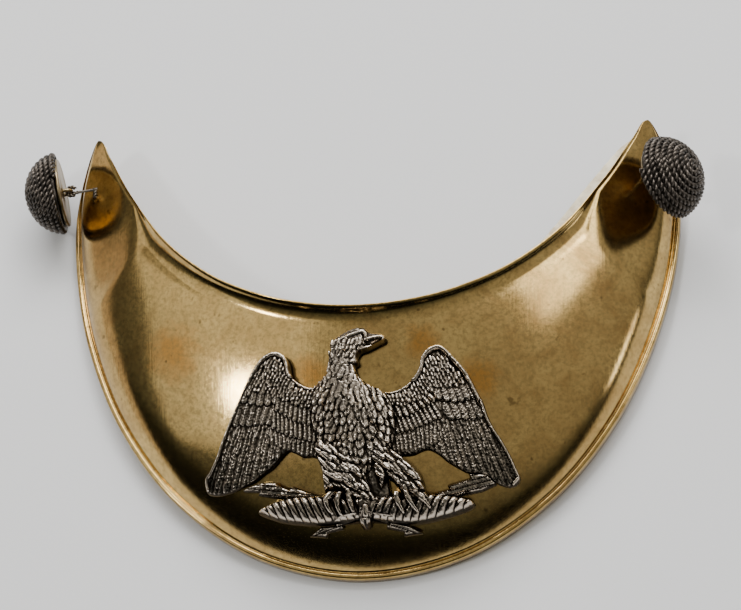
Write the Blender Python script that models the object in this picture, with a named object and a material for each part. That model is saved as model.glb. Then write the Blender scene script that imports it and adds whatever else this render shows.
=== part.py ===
"""Officer's gorget: a domed brass crescent lying on its back, with a cast silver eagle and two
cord-wound buttons wired to its tips. Metres, +Z up out of the table, +Y towards the tips."""

import math

import bmesh
import bpy
import numpy as np
from mathutils import Matrix, Vector
from mathutils.bvhtree import BVHTree
from mathutils.geometry import delaunay_2d_cdt

# All sizes below are millimetres; MM turns them into metres when a mesh is made
MM = 0.001
GAP = 0.35

# Sheet and dome of the plate
SHEET = 1.0
RIM_BAND = 1.6
LIP_DROP = 2.6
FULL_TRIM_WIDTH = 17.0
# Concave flare up to the neck edge; it dies out where the horns get narrower than FLARE_FULL
FLARE_WIDTH = 4.4
FLARE_RISE = 2.3
FLARE_POWER = 1.8
FLARE_NONE = 20.5
FLARE_FULL = 26.0
FLARE_LEAST = 0.2
# Vertical thickness of the steep flare as a share of the sheet
FLARE_SHEET = 1.25
# Fall of the dome: an even slope, straighter at the tips, plus a short steep shoulder
SLOPE_SHARE = 0.75
SLOPE_POWER = 1.45
SLOPE_POWER_TIP = 1.0
SHOULDER_POWER = 10.0
# Height over the whole part from which heights on the sheet are looked up
RAY_TOP = 80.0
RIBS_PER_SIDE = 28
DOME_STEPS = 10
# Where the back of the sheet turns into the lip, as shares of the sheet: step in, depth
BACK_TURN_IN = 0.6
BACK_TURN_DEPTH = 0.8

# Neck roll on the flare: columns are distance from the neck edge and rise over the flare
NECK_ROLL = (
    (0.00, 0.00),
    (0.25, 0.34),
    (0.75, 0.40),
    (1.20, 0.12),
    (1.90, 0.00),
    (3.00, 0.00),
)
# Groove, bead and turned-down lip: columns are distance in from the outer edge, rise over the dome foot
RIM_EDGE = (
    (1.42, -0.08),
    (1.15, 0.05),
    (0.80, 0.12),
    (0.40, 0.08),
    (0.12, -0.20),
    (0.00, -0.75),
)
# Half of the crescent, middle to tip: columns are neck edge x, y, z and outer edge x, y, z
STATIONS = (
    (0.0, -37.3, 24.4, 0.0, -91.4, 0.0),
    (10.6, -36.4, 24.2, 22.1, -86.9, 0.6),
    (21.2, -33.6, 23.4, 40.5, -74.8, 1.6),
    (32.3, -28.1, 21.8, 53.8, -58.2, 2.0),
    (43.0, -19.0, 19.2, 62.5, -39.0, 1.3),
    (52.0, -6.8, 16.0, 67.0, -20.1, 0.0),
    (58.0, 3.6, 13.4, 67.3, -4.2, 1.8),
    (61.4, 8.6, 11.8, 61.4, 8.6, 10.8),
)
# Direction in which both edges run into the rounded tip, same columns
TIP_TANGENT = (5.0, 1.0, -2.0, -5.0, 1.0, 5.0)

# Wire holes through the tips
HOLE_X = 61.9
HOLE_Y = -2.4
HOLE_RADIUS = 1.05

# Cream leather that peeps out behind the neck edge, as station positions
LINING_FROM = 3.5
LINING_TO = 6.15
LINING_STEPS = 16
LINING_TUCK = 2.2
LINING_SHOW = 3.0
LINING_THICK = 0.8
LINING_DROP = 2.4
LINING_LEAST = 0.4
LINING_SAG = 0.3

# Eagle casting
EAGLE_GAP = 0.45
EAGLE_STEEPEST = 0.4
EAGLE_GRID = 1.5
# Share of the grid that stays free of net points round an outline's corners
EAGLE_CLEAR = 0.45
EAGLE_THINNEST = 0.9
STUD_RADIUS = 0.9
STUD_END = 1.0
STUD_AT = ((-16.5, -58.0), (18.5, -58.0))

WING_LEFT = (
    (-6.4, -54.0), (-8.5, -54.9), (-10.3, -54.5), (-12.1, -53.4), (-13.2, -51.9), (-13.6, -49.7),
    (-14.5, -48.1), (-16.4, -47.1), (-18.5, -47.5), (-20.3, -48.9), (-21.9, -51.1), (-23.3, -53.5),
    (-24.5, -55.9), (-25.9, -58.7), (-27.2, -61.3), (-28.7, -64.4), (-30.1, -67.7), (-31.7, -70.4),
    (-32.9, -71.8), (-32.8, -73.6), (-32.1, -74.5), (-30.0, -74.9), (-27.1, -74.7), (-25.3, -74.2),
    (-22.1, -73.2), (-19.9, -71.8), (-17.7, -70.5), (-14.5, -67.5), (-12.6, -67.8), (-10.8, -68.7),
    (-9.2, -68.6), (-6.1, -68.0),
)
WING_RIGHT = (
    (1.6, -53.9), (3.4, -55.1), (5.4, -55.9), (8.5, -56.1), (11.1, -54.9), (12.8, -53.2), (13.9, -51.2),
    (14.3, -49.2), (15.5, -47.5), (17.5, -46.5), (19.3, -46.9), (21.4, -48.9), (24.0, -51.8),
    (25.7, -55.0), (27.2, -57.9), (28.1, -60.5), (29.3, -62.9), (31.0, -65.4), (32.6, -68.2),
    (33.7, -70.6), (34.4, -72.3), (33.5, -73.6), (31.9, -74.1), (29.6, -73.6), (27.3, -72.2),
    (23.8, -71.9), (22.6, -71.5), (19.6, -69.9), (17.8, -68.5), (15.9, -67.6), (14.4, -67.8),
    (12.6, -68.6), (10.3, -68.8), (7.0, -68.3),
)
HEAD = (
    (-4.4, -50.8), (-4.7, -47.4), (-4.8, -45.8), (-3.7, -44.8), (-1.6, -43.5), (0.4, -42.7),
    (2.4, -42.5), (3.6, -43.5), (4.9, -43.7), (6.4, -44.0), (7.0, -44.6), (6.9, -45.4), (5.3, -46.3),
    (3.3, -47.3), (1.7, -47.9), (1.0, -49.0), (0.9, -50.6),
)
BODY = (
    (-4.8, -47.2), (-5.0, -49.5), (-5.5, -51.8), (-6.7, -54.0), (-8.2, -56.2), (-8.8, -59.2),
    (-8.7, -62.2), (-7.7, -65.3), (-6.9, -67.7), (-4.2, -69.8), (-1.0, -72.4), (2.2, -73.0),
    (4.4, -71.4), (6.4, -70.0), (8.0, -67.5), (8.9, -64.6), (9.0, -61.6), (8.2, -58.6), (6.5, -56.3),
    (3.5, -54.7), (1.7, -53.4), (0.6, -51.5), (0.6, -50.3), (0.7, -48.9),
)
THIGH_LEFT = (
    (-8.2, -66.4), (-5.5, -66.1), (-1.9, -67.2), (0.3, -69.0), (1.7, -71.0), (2.7, -73.1), (3.8, -76.0),
    (4.7, -78.0), (2.7, -78.2), (0.1, -77.6), (-2.1, -75.9), (-4.9, -75.5), (-6.3, -75.9),
    (-6.6, -72.2), (-7.5, -69.9),
)
THIGH_RIGHT = (
    (4.0, -66.6), (5.8, -66.0), (7.9, -67.7), (9.7, -69.1), (12.2, -71.1), (14.0, -72.8), (15.1, -76.3),
    (15.9, -77.8), (13.1, -77.9), (11.0, -77.3), (9.6, -75.7), (7.4, -73.5), (5.7, -75.7), (4.3, -71.4),
)
TAIL = (
    (2.4, -71.0), (3.9, -68.7), (5.7, -69.0), (7.1, -73.4), (7.3, -77.9), (2.2, -78.3),
)
SPINDLE = (
    (-21.2, -79.0), (-19.5, -78.0), (-16.4, -77.1), (-12.2, -76.6), (-8.1, -76.5), (-3.7, -76.6),
    (0.0, -76.9), (2.3, -77.0), (4.6, -76.9), (9.0, -76.7), (14.8, -76.4), (18.1, -76.4), (21.6, -76.7),
    (24.0, -77.0), (25.0, -77.8), (23.9, -78.8), (19.9, -80.3), (14.8, -81.6), (9.9, -82.1),
    (4.5, -81.6), (-0.3, -81.6), (-7.0, -82.1), (-11.5, -81.8), (-16.0, -81.1), (-19.0, -80.1),
)
RING = (
    (1.0, -77.2), (3.5, -77.2), (3.5, -81.7), (2.8, -82.7), (2.2, -82.9), (1.4, -82.7), (1.0, -81.7),
)
BOLT_UPPER_LEFT = (
    (-24.4, -74.5), (-22.7, -73.8), (-20.4, -73.3), (-16.9, -73.5), (-16.7, -73.9), (-14.1, -75.0),
    (-13.9, -74.3), (-7.5, -76.5), (-8.2, -77.1), (-13.8, -76.9), (-17.6, -76.4), (-21.0, -75.6),
    (-20.5, -75.1), (-24.0, -74.8),
)
BOLT_UPPER_RIGHT = (
    (29.6, -73.8), (27.6, -72.0), (23.9, -72.1), (24.2, -73.1), (19.4, -74.6), (20.0, -75.3),
    (15.2, -76.5), (16.2, -77.0), (21.5, -76.6), (21.9, -76.4), (26.5, -75.3),
)
BOLT_LOWER_LEFT = (
    (1.9, -80.3), (-2.5, -80.9), (-5.0, -81.7), (-4.4, -82.3), (-7.8, -82.4), (-10.2, -83.9),
    (-6.4, -84.2), (-6.2, -83.4), (-2.8, -82.8), (-2.9, -82.0), (1.1, -81.6),
)
BOLT_LOWER_RIGHT = (
    (2.6, -80.3), (8.1, -81.0), (8.0, -81.7), (10.9, -82.2), (13.8, -83.5), (9.9, -84.1), (9.9, -83.3),
    (6.4, -82.7), (6.4, -81.8), (3.4, -81.6),
)
# Columns: outline, edge height, further rise, width over which it rises
EAGLE_PARTS = (
    (WING_LEFT, 1.1, 0.7, 6.0),
    (WING_RIGHT, 1.1, 0.7, 6.0),
    (BOLT_UPPER_LEFT, 1.0, 0.4, 0.8),
    (BOLT_UPPER_RIGHT, 1.0, 0.4, 0.8),
    (BOLT_LOWER_LEFT, 0.9, 0.3, 0.7),
    (BOLT_LOWER_RIGHT, 0.9, 0.3, 0.7),
    (TAIL, 1.5, 0.8, 2.0),
    (BODY, 1.5, 3.3, 6.5),
    (HEAD, 1.6, 2.2, 3.0),
    (SPINDLE, 1.2, 2.6, 2.3),
    (THIGH_LEFT, 2.3, 2.4, 2.6),
    (THIGH_RIGHT, 2.3, 2.4, 2.6),
    (RING, 3.4, 1.0, 1.2),
)

# Cord buttons
BUTTON_RADIUS = 7.7
BUTTON_BACK = 0.9
BUTTON_BEVEL = 0.25
BUTTON_SEGMENTS = 26
CORD_TURNS = 9
CORD_SAG = 0.22
CORD_RADIUS = 9.3
CORD_DEPTH = 8.6
# Height over the flat of the back at which the cord begins
CORD_START = 0.25
SHANK_WIRE = 0.42
SHANK_RADIUS = 1.1
SHANK_STAND = 0.56
SHANK_SEGMENTS = 12
SHANK_SIDES = 8
# Columns: side, centre of the back x, y, z, direction of the dome x, y, z, shank turn in degrees
BUTTONS = (
    ("left", -69.1, -2.9, 9.75, -0.977, -0.195, 0.085, 90.0),
    ("right", 64.7, -7.8, 16.45, 0.824, 0.145, 0.547, 90.0),
)

# Tie wires
TIE_RADIUS = 0.5
TIE_STRAND = 0.32
TIE_SIDES = 8
TIE_EYE = 1.04
TIE_EYE_STEPS = 12
TIE_BEHIND = 2.4
TIE_TURN = 2.0
TIE_CLEAR = 2.3

# Each look: colour, roughness, metallic
LOOKS = {
    "brass": ((0.55, 0.42, 0.20, 1.0), 0.22, 1.0),
    "silver": ((0.42, 0.38, 0.34, 1.0), 0.32, 1.0),
    "cord": ((0.11, 0.09, 0.08, 1.0), 0.45, 0.9),
    "leather": ((0.74, 0.66, 0.50, 1.0), 0.75, 0.0),
}


def clear_scene():
    for obj in list(bpy.data.objects):
        bpy.data.objects.remove(obj, do_unlink=True)


def make_material(name, look):
    color, roughness, metallic = LOOKS[look]
    material = bpy.data.materials.new(name + "_" + look)
    material.use_nodes = True
    shader = material.node_tree.nodes["Principled BSDF"]
    shader.inputs["Base Color"].default_value = color
    shader.inputs["Roughness"].default_value = roughness
    shader.inputs["Metallic"].default_value = metallic
    material.diffuse_color = color
    return material


def add_node(name, bm, look, smooth_angle=35.0):
    """Turn a millimetre bmesh into a named object in metres, facing out."""
    bmesh.ops.remove_doubles(bm, verts=bm.verts, dist=0.012)
    bmesh.ops.dissolve_degenerate(bm, edges=bm.edges, dist=0.0005)
    bmesh.ops.scale(bm, vec=(MM, MM, MM), verts=bm.verts)
    bmesh.ops.recalc_face_normals(bm, faces=bm.faces)
    mesh = bpy.data.meshes.new(name)
    bm.to_mesh(mesh)
    bm.free()
    mesh.shade_smooth()
    mesh.set_sharp_from_angle(angle=math.radians(smooth_angle))
    obj = bpy.data.objects.new(name, mesh)
    bpy.context.scene.collection.objects.link(obj)
    mesh.materials.append(make_material(name, look))
    return obj


def apply_boolean(target, tool, operation):
    """Cut or join one millimetre bmesh with another and return the result."""
    objects = []
    for bm in (target, tool):
        mesh = bpy.data.meshes.new("work")
        bmesh.ops.recalc_face_normals(bm, faces=bm.faces)
        bm.to_mesh(mesh)
        bm.free()
        obj = bpy.data.objects.new("work", mesh)
        bpy.context.scene.collection.objects.link(obj)
        objects.append(obj)
    modifier = objects[0].modifiers.new("boolean", "BOOLEAN")
    modifier.object = objects[1]
    modifier.operation = operation
    modifier.solver = "EXACT"
    depsgraph = bpy.context.evaluated_depsgraph_get()
    result = bmesh.new()
    result.from_object(objects[0], depsgraph)
    for obj in objects:
        bpy.data.objects.remove(obj, do_unlink=True)
    return result


def mirror_row(row):
    """The same station on the other side of the middle."""
    out = np.array(row, float)
    out[0] = -out[0]
    out[3] = -out[3]
    return out


def station(s):
    """Row of the crescent at signed position s, negative on the left."""
    t = abs(s)
    i = int(min(math.floor(t), len(STATIONS) - 2))
    f = t - i
    p1 = np.array(STATIONS[i], float)
    p2 = np.array(STATIONS[i + 1], float)
    p0 = np.array(STATIONS[i - 1], float) if i > 0 else mirror_row(STATIONS[1])
    if i + 2 < len(STATIONS):
        p3 = np.array(STATIONS[i + 2], float)
    else:
        p3 = p1 + 2.0 * np.array(TIP_TANGENT)
    row = 0.5 * (2.0 * p1 + (p2 - p0) * f + (2.0 * p0 - 5.0 * p1 + 4.0 * p2 - p3) * f * f
                 + (3.0 * p1 - p0 - 3.0 * p2 + p3) * f ** 3)
    return row if s >= 0.0 else mirror_row(row)


def fall_share(w, flared):
    """Share of the dome's height lost at share w of the way from crease to foot."""
    power = SLOPE_POWER_TIP + (SLOPE_POWER - SLOPE_POWER_TIP) * flared ** 3
    return SLOPE_SHARE * w ** power + (1.0 - SLOPE_SHARE) * w ** SHOULDER_POWER


def section(row):
    """Closed outline of the sheet across one station: front points, then back points, as (d, z)."""
    width = math.hypot(row[3] - row[0], row[4] - row[1])
    trim = min(1.0, width / FULL_TRIM_WIDTH)
    flared = trim * min(1.0, max(FLARE_LEAST, (width - FLARE_NONE) / (FLARE_FULL - FLARE_NONE)))
    foot = row[5] + LIP_DROP * trim + SHEET * (1.0 - trim)
    crease = row[2] - FLARE_RISE * flared
    start = FLARE_WIDTH * flared
    end = width - RIM_BAND * trim
    flare = []
    for d, rise in NECK_ROLL:
        lift = FLARE_RISE * (1.0 - d / FLARE_WIDTH) ** FLARE_POWER
        flare.append((d * flared, crease + (lift + rise) * flared))
    dome = []
    for i in range(DOME_STEPS + 1):
        w = 1.0 - (1.0 - i / DOME_STEPS) ** 1.3
        dome.append((start + (end - start) * w, crease - (crease - foot) * fall_share(w, flared)))
    front = flare + dome
    front += [(width - d * trim, foot + rise * trim) for d, rise in RIM_EDGE]
    wall = min(SHEET, width / 6.0)
    turn = (end - BACK_TURN_IN * wall, foot - BACK_TURN_DEPTH * SHEET)
    back = [(width, row[5]), (width - wall, row[5]), (width - wall, foot - SHEET), turn]
    for i in range(DOME_STEPS - 1, 0, -1):
        run = dome[i + 1][0] - dome[i - 1][0]
        drop = dome[i + 1][1] - dome[i - 1][1]
        size = math.hypot(run, drop)
        if size > 0.0:
            back.append((dome[i][0] + wall * drop / size,
                         dome[i][1] - SHEET * (trim * run / size + (1.0 - trim))))
        else:
            back.append((dome[i][0], dome[i][1] - SHEET))
    thick = SHEET * (1.0 + (FLARE_SHEET - 1.0) * flared)
    for d, z in ((start, crease), flare[-1], flare[-3], flare[0]):
        back.append((d, z - thick))
    return front + back


def place(row, d, z):
    """Point of a station at distance d from the neck edge and height z."""
    width = math.hypot(row[3] - row[0], row[4] - row[1])
    share = d / width if width > 0.001 else 0.0
    return Vector((row[0] + (row[3] - row[0]) * share, row[1] + (row[4] - row[1]) * share, z))


def loft(bm, loops, closed):
    """Skin between point loops of the same length; open chains get end caps."""
    rings = [[bm.verts.new(point) for point in loop] for loop in loops]
    count = len(rings[0])
    for a, b in zip(rings, rings[1:]):
        for i in range(count):
            j = (i + 1) % count
            bm.faces.new((a[i], a[j], b[j], b[i]))
    if closed:
        bm.faces.new(rings[0])
        bm.faces.new(list(reversed(rings[-1])))
    return rings


def tip_spacing(share):
    """Station position for an even share, closer together near the tips."""
    last = len(STATIONS) - 1
    side = -1.0 if share < 0.0 else 1.0
    t = abs(share)
    return side * last * (1.0 - (1.0 - t) ** 1.5) if t > 0.0 else 0.0


def cylinder(start, end, radius, sides):
    """Closed cylinder between two points as a bmesh."""
    axis = (end - start).normalized()
    across = axis.orthogonal().normalized()
    other = axis.cross(across)
    bm = bmesh.new()
    loops = []
    for centre in (start, end):
        ring = []
        for i in range(sides):
            angle = 2.0 * math.pi * i / sides
            ring.append(centre + (across * math.cos(angle) + other * math.sin(angle)) * radius)
        loops.append(ring)
    loft(bm, loops, True)
    return bm


def tube(points, radii, sides):
    """Closed round wire along a path with a radius at each point, as a bmesh."""
    bm = bmesh.new()
    loops = []
    across = None
    for i, point in enumerate(points):
        before = points[max(i - 1, 0)]
        after = points[min(i + 1, len(points) - 1)]
        axis = (after - before).normalized()
        if across is None:
            across = axis.orthogonal().normalized()
        across = (across - axis * across.dot(axis)).normalized()
        other = axis.cross(across)
        ring = []
        for k in range(sides):
            angle = 2.0 * math.pi * k / sides
            ring.append(point + (across * math.cos(angle) + other * math.sin(angle)) * radii[i])
        loops.append(ring)
    loft(bm, loops, True)
    return bm


def surface_at(bvh, x, y):
    """Front surface point and normal of the plate straight below a plan position."""
    hit, normal, _index, _distance = bvh.ray_cast(Vector((x, y, RAY_TOP)), Vector((0.0, 0.0, -1.0)))
    if hit is None:
        raise ValueError("no plate under %.1f, %.1f" % (x, y))
    if normal.z < 0.0:
        normal = -normal
    return hit, normal


def build_plate():
    """Blank sheet of the crescent with its trims, in millimetres, without holes."""
    loops = []
    for i in range(-RIBS_PER_SIDE, RIBS_PER_SIDE + 1):
        row = station(tip_spacing(i / RIBS_PER_SIDE))
        loops.append([place(row, d, z) for d, z in section(row)])
    bm = bmesh.new()
    loft(bm, loops, True)
    bmesh.ops.remove_doubles(bm, verts=bm.verts, dist=0.012)
    bmesh.ops.dissolve_degenerate(bm, edges=bm.edges, dist=0.001)
    bmesh.ops.triangulate(bm, faces=bm.faces)
    bmesh.ops.recalc_face_normals(bm, faces=bm.faces)
    return bm


def drill(bm, bvh):
    """Wire holes in both tips and stud holes under the eagle."""
    spots = [(side * HOLE_X, HOLE_Y, HOLE_RADIUS) for side in (-1.0, 1.0)]
    spots += [(x, y, STUD_RADIUS + GAP) for x, y in STUD_AT]
    for x, y, radius in spots:
        centre, normal = surface_at(bvh, x, y)
        tool = cylinder(centre - normal * 4.0 * SHEET, centre + normal * 2.0 * SHEET, radius, 16)
        bm = apply_boolean(bm, tool, "DIFFERENCE")
    return bm


def build_lining():
    """Thin strip that follows the neck edge behind the sheet, with tapered ends."""
    loops = []
    for i in range(LINING_STEPS + 1):
        share = i / LINING_STEPS
        row = station(LINING_FROM + (LINING_TO - LINING_FROM) * share)
        taper = math.sin(math.pi * min(max(share, 0.03), 0.97)) ** 0.6
        top = row[2] - SHEET - LINING_DROP
        show = -LINING_LEAST - (LINING_SHOW - LINING_LEAST) * taper
        sag = LINING_SAG * taper
        loops.append([
            place(row, show, top - sag),
            place(row, LINING_TUCK, top),
            place(row, LINING_TUCK, top - LINING_THICK),
            place(row, show, top - sag - LINING_THICK),
        ])
    bm = bmesh.new()
    loft(bm, loops, True)
    return bm


def inside(polygon, x, y):
    """Whether a plan position lies in a closed outline."""
    result = False
    for (ax, ay), (bx, by) in zip(polygon, polygon[1:] + polygon[:1]):
        if (ay > y) != (by > y) and x < ax + (y - ay) * (bx - ax) / (by - ay):
            result = not result
    return result


def edge_distance(polygon, x, y):
    """Distance from a plan position to a closed outline."""
    best = 1000.0
    for (ax, ay), (bx, by) in zip(polygon, polygon[1:] + polygon[:1]):
        dx = bx - ax
        dy = by - ay
        t = ((x - ax) * dx + (y - ay) * dy) / (dx * dx + dy * dy)
        t = min(max(t, 0.0), 1.0)
        best = min(best, math.hypot(x - ax - t * dx, y - ay - t * dy))
    return best


def relief(x, y):
    """Height of the casting over its back at a plan position."""
    height = 0.0
    for polygon, edge, rise, reach in EAGLE_PARTS:
        distance = edge_distance(polygon, x, y)
        if distance > 0.02 and not inside(polygon, x, y):
            continue
        share = min(distance / reach, 1.0)
        height = max(height, edge + rise * math.sqrt(share * (2.0 - share)))
    return max(height, EAGLE_THINNEST)


def build_eagle(bvh):
    """One raised casting over the dome: measured outlines filled with an even net of points."""
    points = []
    edges = []
    for polygon, _edge, _rise, _reach in EAGLE_PARTS:
        first = len(points)
        points += [Vector(corner) for corner in polygon]
        edges += [(first + i, first + (i + 1) % len(polygon)) for i in range(len(polygon))]
    corners = list(points)
    low_x = min(p.x for p in corners)
    high_x = max(p.x for p in corners)
    low_y = min(p.y for p in corners)
    high_y = max(p.y for p in corners)
    row_step = EAGLE_GRID * math.sqrt(0.75)
    for j in range(int((high_y - low_y) / row_step) + 1):
        y = low_y + j * row_step
        for i in range(int((high_x - low_x) / EAGLE_GRID) + 1):
            x = low_x + (i + 0.5 * (j % 2)) * EAGLE_GRID
            if min((p - Vector((x, y))).length for p in corners) < EAGLE_CLEAR * EAGLE_GRID:
                continue
            if any(inside(polygon, x, y) for polygon, _e, _r, _w in EAGLE_PARTS):
                points.append(Vector((x, y)))
    flat, _edges, faces, _ov, _oe, _of = delaunay_2d_cdt(points, edges, [], 0, 0.01)
    kept = []
    for face in faces:
        x = sum(flat[i].x for i in face) / 3.0
        y = sum(flat[i].y for i in face) / 3.0
        if any(inside(polygon, x, y) for polygon, _e, _r, _w in EAGLE_PARTS):
            kept.append(face)
    bm = bmesh.new()
    tops = {}
    bottoms = {}
    for i in sorted({i for face in kept for i in face}):
        x, y = flat[i]
        hit, normal = surface_at(bvh, x, y)
        base = hit.z + EAGLE_GAP / max(normal.z, EAGLE_STEEPEST)
        tops[i] = bm.verts.new((x, y, base + relief(x, y)))
        bottoms[i] = bm.verts.new((x, y, base))
    borders = {}
    for a, b, c in kept:
        bm.faces.new((tops[a], tops[b], tops[c]))
        bm.faces.new((bottoms[c], bottoms[b], bottoms[a]))
        for pair in ((a, b), (b, c), (c, a)):
            borders[pair] = True
    for a, b in borders:
        if (b, a) not in borders:
            bm.faces.new((tops[b], tops[a], bottoms[a], bottoms[b]))
    for x, y in STUD_AT:
        hit, normal = surface_at(bvh, x, y)
        stud = cylinder(hit - normal * (SHEET + STUD_END), hit + normal * 1.0, STUD_RADIUS, 12)
        bm = apply_boolean(bm, stud, "UNION")
    return bm


def button_frame(row):
    """Placement of one button: local +Z is the way its dome points."""
    _side, x, y, z, ax, ay, az, turn = row
    axis = Vector((ax, ay, az)).normalized()
    spin = Matrix.Rotation(math.radians(turn), 4, "Z")
    return Matrix.Translation((x, y, z)) @ axis.to_track_quat("Z", "Y").to_matrix().to_4x4() @ spin


def ring_loop(radius, z, sides):
    loop = []
    for i in range(sides):
        angle = 2.0 * math.pi * i / sides
        loop.append(Vector((radius * math.cos(angle), radius * math.sin(angle), z)))
    return loop


def build_button_back(frame):
    """Flat brass disc with a half-sunk wire shank on its flat side, as one solid."""
    disc = bmesh.new()
    loft(disc, [
        ring_loop(BUTTON_RADIUS - BUTTON_BEVEL, 0.0, BUTTON_SEGMENTS),
        ring_loop(BUTTON_RADIUS, BUTTON_BEVEL, BUTTON_SEGMENTS),
        ring_loop(BUTTON_RADIUS, BUTTON_BACK, BUTTON_SEGMENTS),
    ], True)
    bow = []
    for i in range(SHANK_SEGMENTS + 1):
        angle = math.pi * i / SHANK_SEGMENTS
        reach = SHANK_STAND + SHANK_RADIUS * math.sin(angle)
        bow.append(Vector((SHANK_RADIUS * math.cos(angle), 0.0, -reach)))
    bow = [Vector((SHANK_RADIUS, 0.0, 0.4))] + bow + [Vector((-SHANK_RADIUS, 0.0, 0.4))]
    shank = tube(bow, [SHANK_WIRE] * len(bow), SHANK_SIDES)
    bm = apply_boolean(disc, shank, "UNION")
    bmesh.ops.transform(bm, matrix=frame, verts=bm.verts)
    return bm


def build_cord(frame):
    """Dome of wound cord with shallow round ridges; its underside has a seat for the brass back."""
    seat = BUTTON_RADIUS + GAP
    outline = [(seat, BUTTON_BACK + GAP), (seat, CORD_START)]
    steps = CORD_TURNS * 2
    for i in range(steps):
        angle = 0.5 * math.pi * i / steps
        sag = CORD_SAG if i % 2 == 1 else 0.0
        outline.append(((CORD_RADIUS - sag) * math.cos(angle), CORD_START + (CORD_DEPTH - sag) * math.sin(angle)))
    bm = bmesh.new()
    rings = loft(bm, [ring_loop(r, z, BUTTON_SEGMENTS) for r, z in outline], False)
    peak = bm.verts.new((0.0, 0.0, CORD_START + CORD_DEPTH))
    last = rings[-1]
    for i in range(BUTTON_SEGMENTS):
        bm.faces.new((last[i], last[(i + 1) % BUTTON_SEGMENTS], peak))
    bm.faces.new(rings[0])
    bmesh.ops.transform(bm, matrix=frame, verts=bm.verts)
    return bm


def build_tie(row, frame, bvh):
    """Wire from behind the tip, out through its hole and round the shank of the button."""
    side = -1.0 if row[0] == "left" else 1.0
    hole, normal = surface_at(bvh, side * HOLE_X, HOLE_Y)
    shank = frame @ Vector((0.0, 0.0, -SHANK_STAND - SHANK_RADIUS))
    out = (frame.to_3x3() @ Vector((0.0, 0.0, -1.0))).normalized()
    across = (frame.to_3x3() @ Vector((0.0, 1.0, 0.0))).normalized()
    eye = []
    for i in range(TIE_EYE_STEPS + 1):
        angle = math.radians(-60.0 + 300.0 * i / TIE_EYE_STEPS)
        eye.append(shank + (out * -math.sin(angle) + across * math.cos(angle)) * TIE_EYE)
    back = hole - normal * TIE_BEHIND
    turn = Vector((0.0, -1.0, 0.0))
    turn = (turn - normal * turn.dot(normal)).normalized()
    path = [
        back - normal * 0.3 + turn * TIE_TURN,
        back - normal * 0.1 + turn * 0.4 * TIE_TURN,
        back + normal * 0.3,
        hole - normal * 0.5 * SHEET,
        hole + normal * TIE_CLEAR,
    ]
    radii = [TIE_RADIUS] * len(path) + [TIE_STRAND] * len(eye)
    path += list(reversed(eye))
    return tube(path, radii, TIE_SIDES)


def stand_on_origin():
    """Shift every mesh so that the origin is the bottom centre of the whole object."""
    corners = np.array([v.co[:] for obj in bpy.data.objects for v in obj.data.vertices])
    low = corners.min(axis=0)
    high = corners.max(axis=0)
    shift = Matrix.Translation((-(low[0] + high[0]) / 2.0, -(low[1] + high[1]) / 2.0, -low[2]))
    for obj in bpy.data.objects:
        obj.data.transform(shift)


def main():
    clear_scene()
    blank = build_plate()
    bvh = BVHTree.FromBMesh(blank)
    add_node("plate", drill(blank.copy(), bvh), "brass")
    add_node("lining_edge", build_lining(), "leather")
    add_node("eagle", build_eagle(bvh), "silver", 50.0)
    for row in BUTTONS:
        side = row[0]
        frame = button_frame(row)
        add_node("button_back_" + side, build_button_back(frame), "brass")
        add_node("button_cord_" + side, build_cord(frame), "cord")
        add_node("tie_wire_" + side, build_tie(row, frame, bvh), "silver")
    blank.free()
    stand_on_origin()


main()
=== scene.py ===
"""Looks of an officer's gorget: a domed brass crescent lying on pale paper, with a cast silver eagle
and two cord-wound buttons wired to its tips. Sizes in the tables are millimetres; MM makes metres."""

import functools
import math

import bmesh
import bpy
import numpy as np
from bpy.props import FloatProperty, FloatVectorProperty, IntProperty, PointerProperty
from mathutils import Matrix, Vector, noise
from mathutils.bvhtree import BVHTree
from mathutils.geometry import delaunay_2d_cdt


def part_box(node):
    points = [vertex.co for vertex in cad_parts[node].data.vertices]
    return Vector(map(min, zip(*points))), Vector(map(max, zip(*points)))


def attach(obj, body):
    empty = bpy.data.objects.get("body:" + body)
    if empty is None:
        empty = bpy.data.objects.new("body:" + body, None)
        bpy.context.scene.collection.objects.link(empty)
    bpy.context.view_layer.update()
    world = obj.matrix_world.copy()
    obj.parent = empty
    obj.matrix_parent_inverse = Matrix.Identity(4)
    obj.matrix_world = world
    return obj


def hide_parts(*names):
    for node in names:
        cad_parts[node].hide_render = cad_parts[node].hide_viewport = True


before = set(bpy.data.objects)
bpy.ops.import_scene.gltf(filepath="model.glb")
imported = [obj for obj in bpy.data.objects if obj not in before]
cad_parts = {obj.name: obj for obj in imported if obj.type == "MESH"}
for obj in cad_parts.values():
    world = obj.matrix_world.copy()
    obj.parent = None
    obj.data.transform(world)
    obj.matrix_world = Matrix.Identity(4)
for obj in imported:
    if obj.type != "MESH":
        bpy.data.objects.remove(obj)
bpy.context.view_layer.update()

bl_info = {
    "name": "Gorget looks",
    "version": (1, 0, 0),
    "blender": (4, 5, 0),
    "location": "View3D > Sidebar > Gorget",
    "description": "Brass, silver and cord finish for a gorget lying on its back",
    "category": "Object",
}

MM = 0.001

# Where the drawing's origin, the middle of the tips' line, lies in the frame
RIM_BOTTOM_Y = -91.4
PLATE_LOW, PLATE_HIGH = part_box("plate")
SHIFT_X = (PLATE_LOW.x + PLATE_HIGH.x) / 2.0 / MM
SHIFT_Y = PLATE_LOW.y / MM - RIM_BOTTOM_Y

# Sheet and dome of the plate
SHEET = 1.0
RIM_BAND = 1.6
LIP_DROP = 2.6
FULL_TRIM_WIDTH = 17.0
FLARE_WIDTH = 4.4
FLARE_RISE = 2.3
FLARE_POWER = 1.8
FLARE_NONE = 20.5
FLARE_FULL = 26.0
FLARE_LEAST = 0.2
FLARE_SHEET = 1.25
SLOPE_SHARE = 0.75
SLOPE_POWER = 1.45
SLOPE_POWER_TIP = 1.0
SHOULDER_POWER = 10.0
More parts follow.
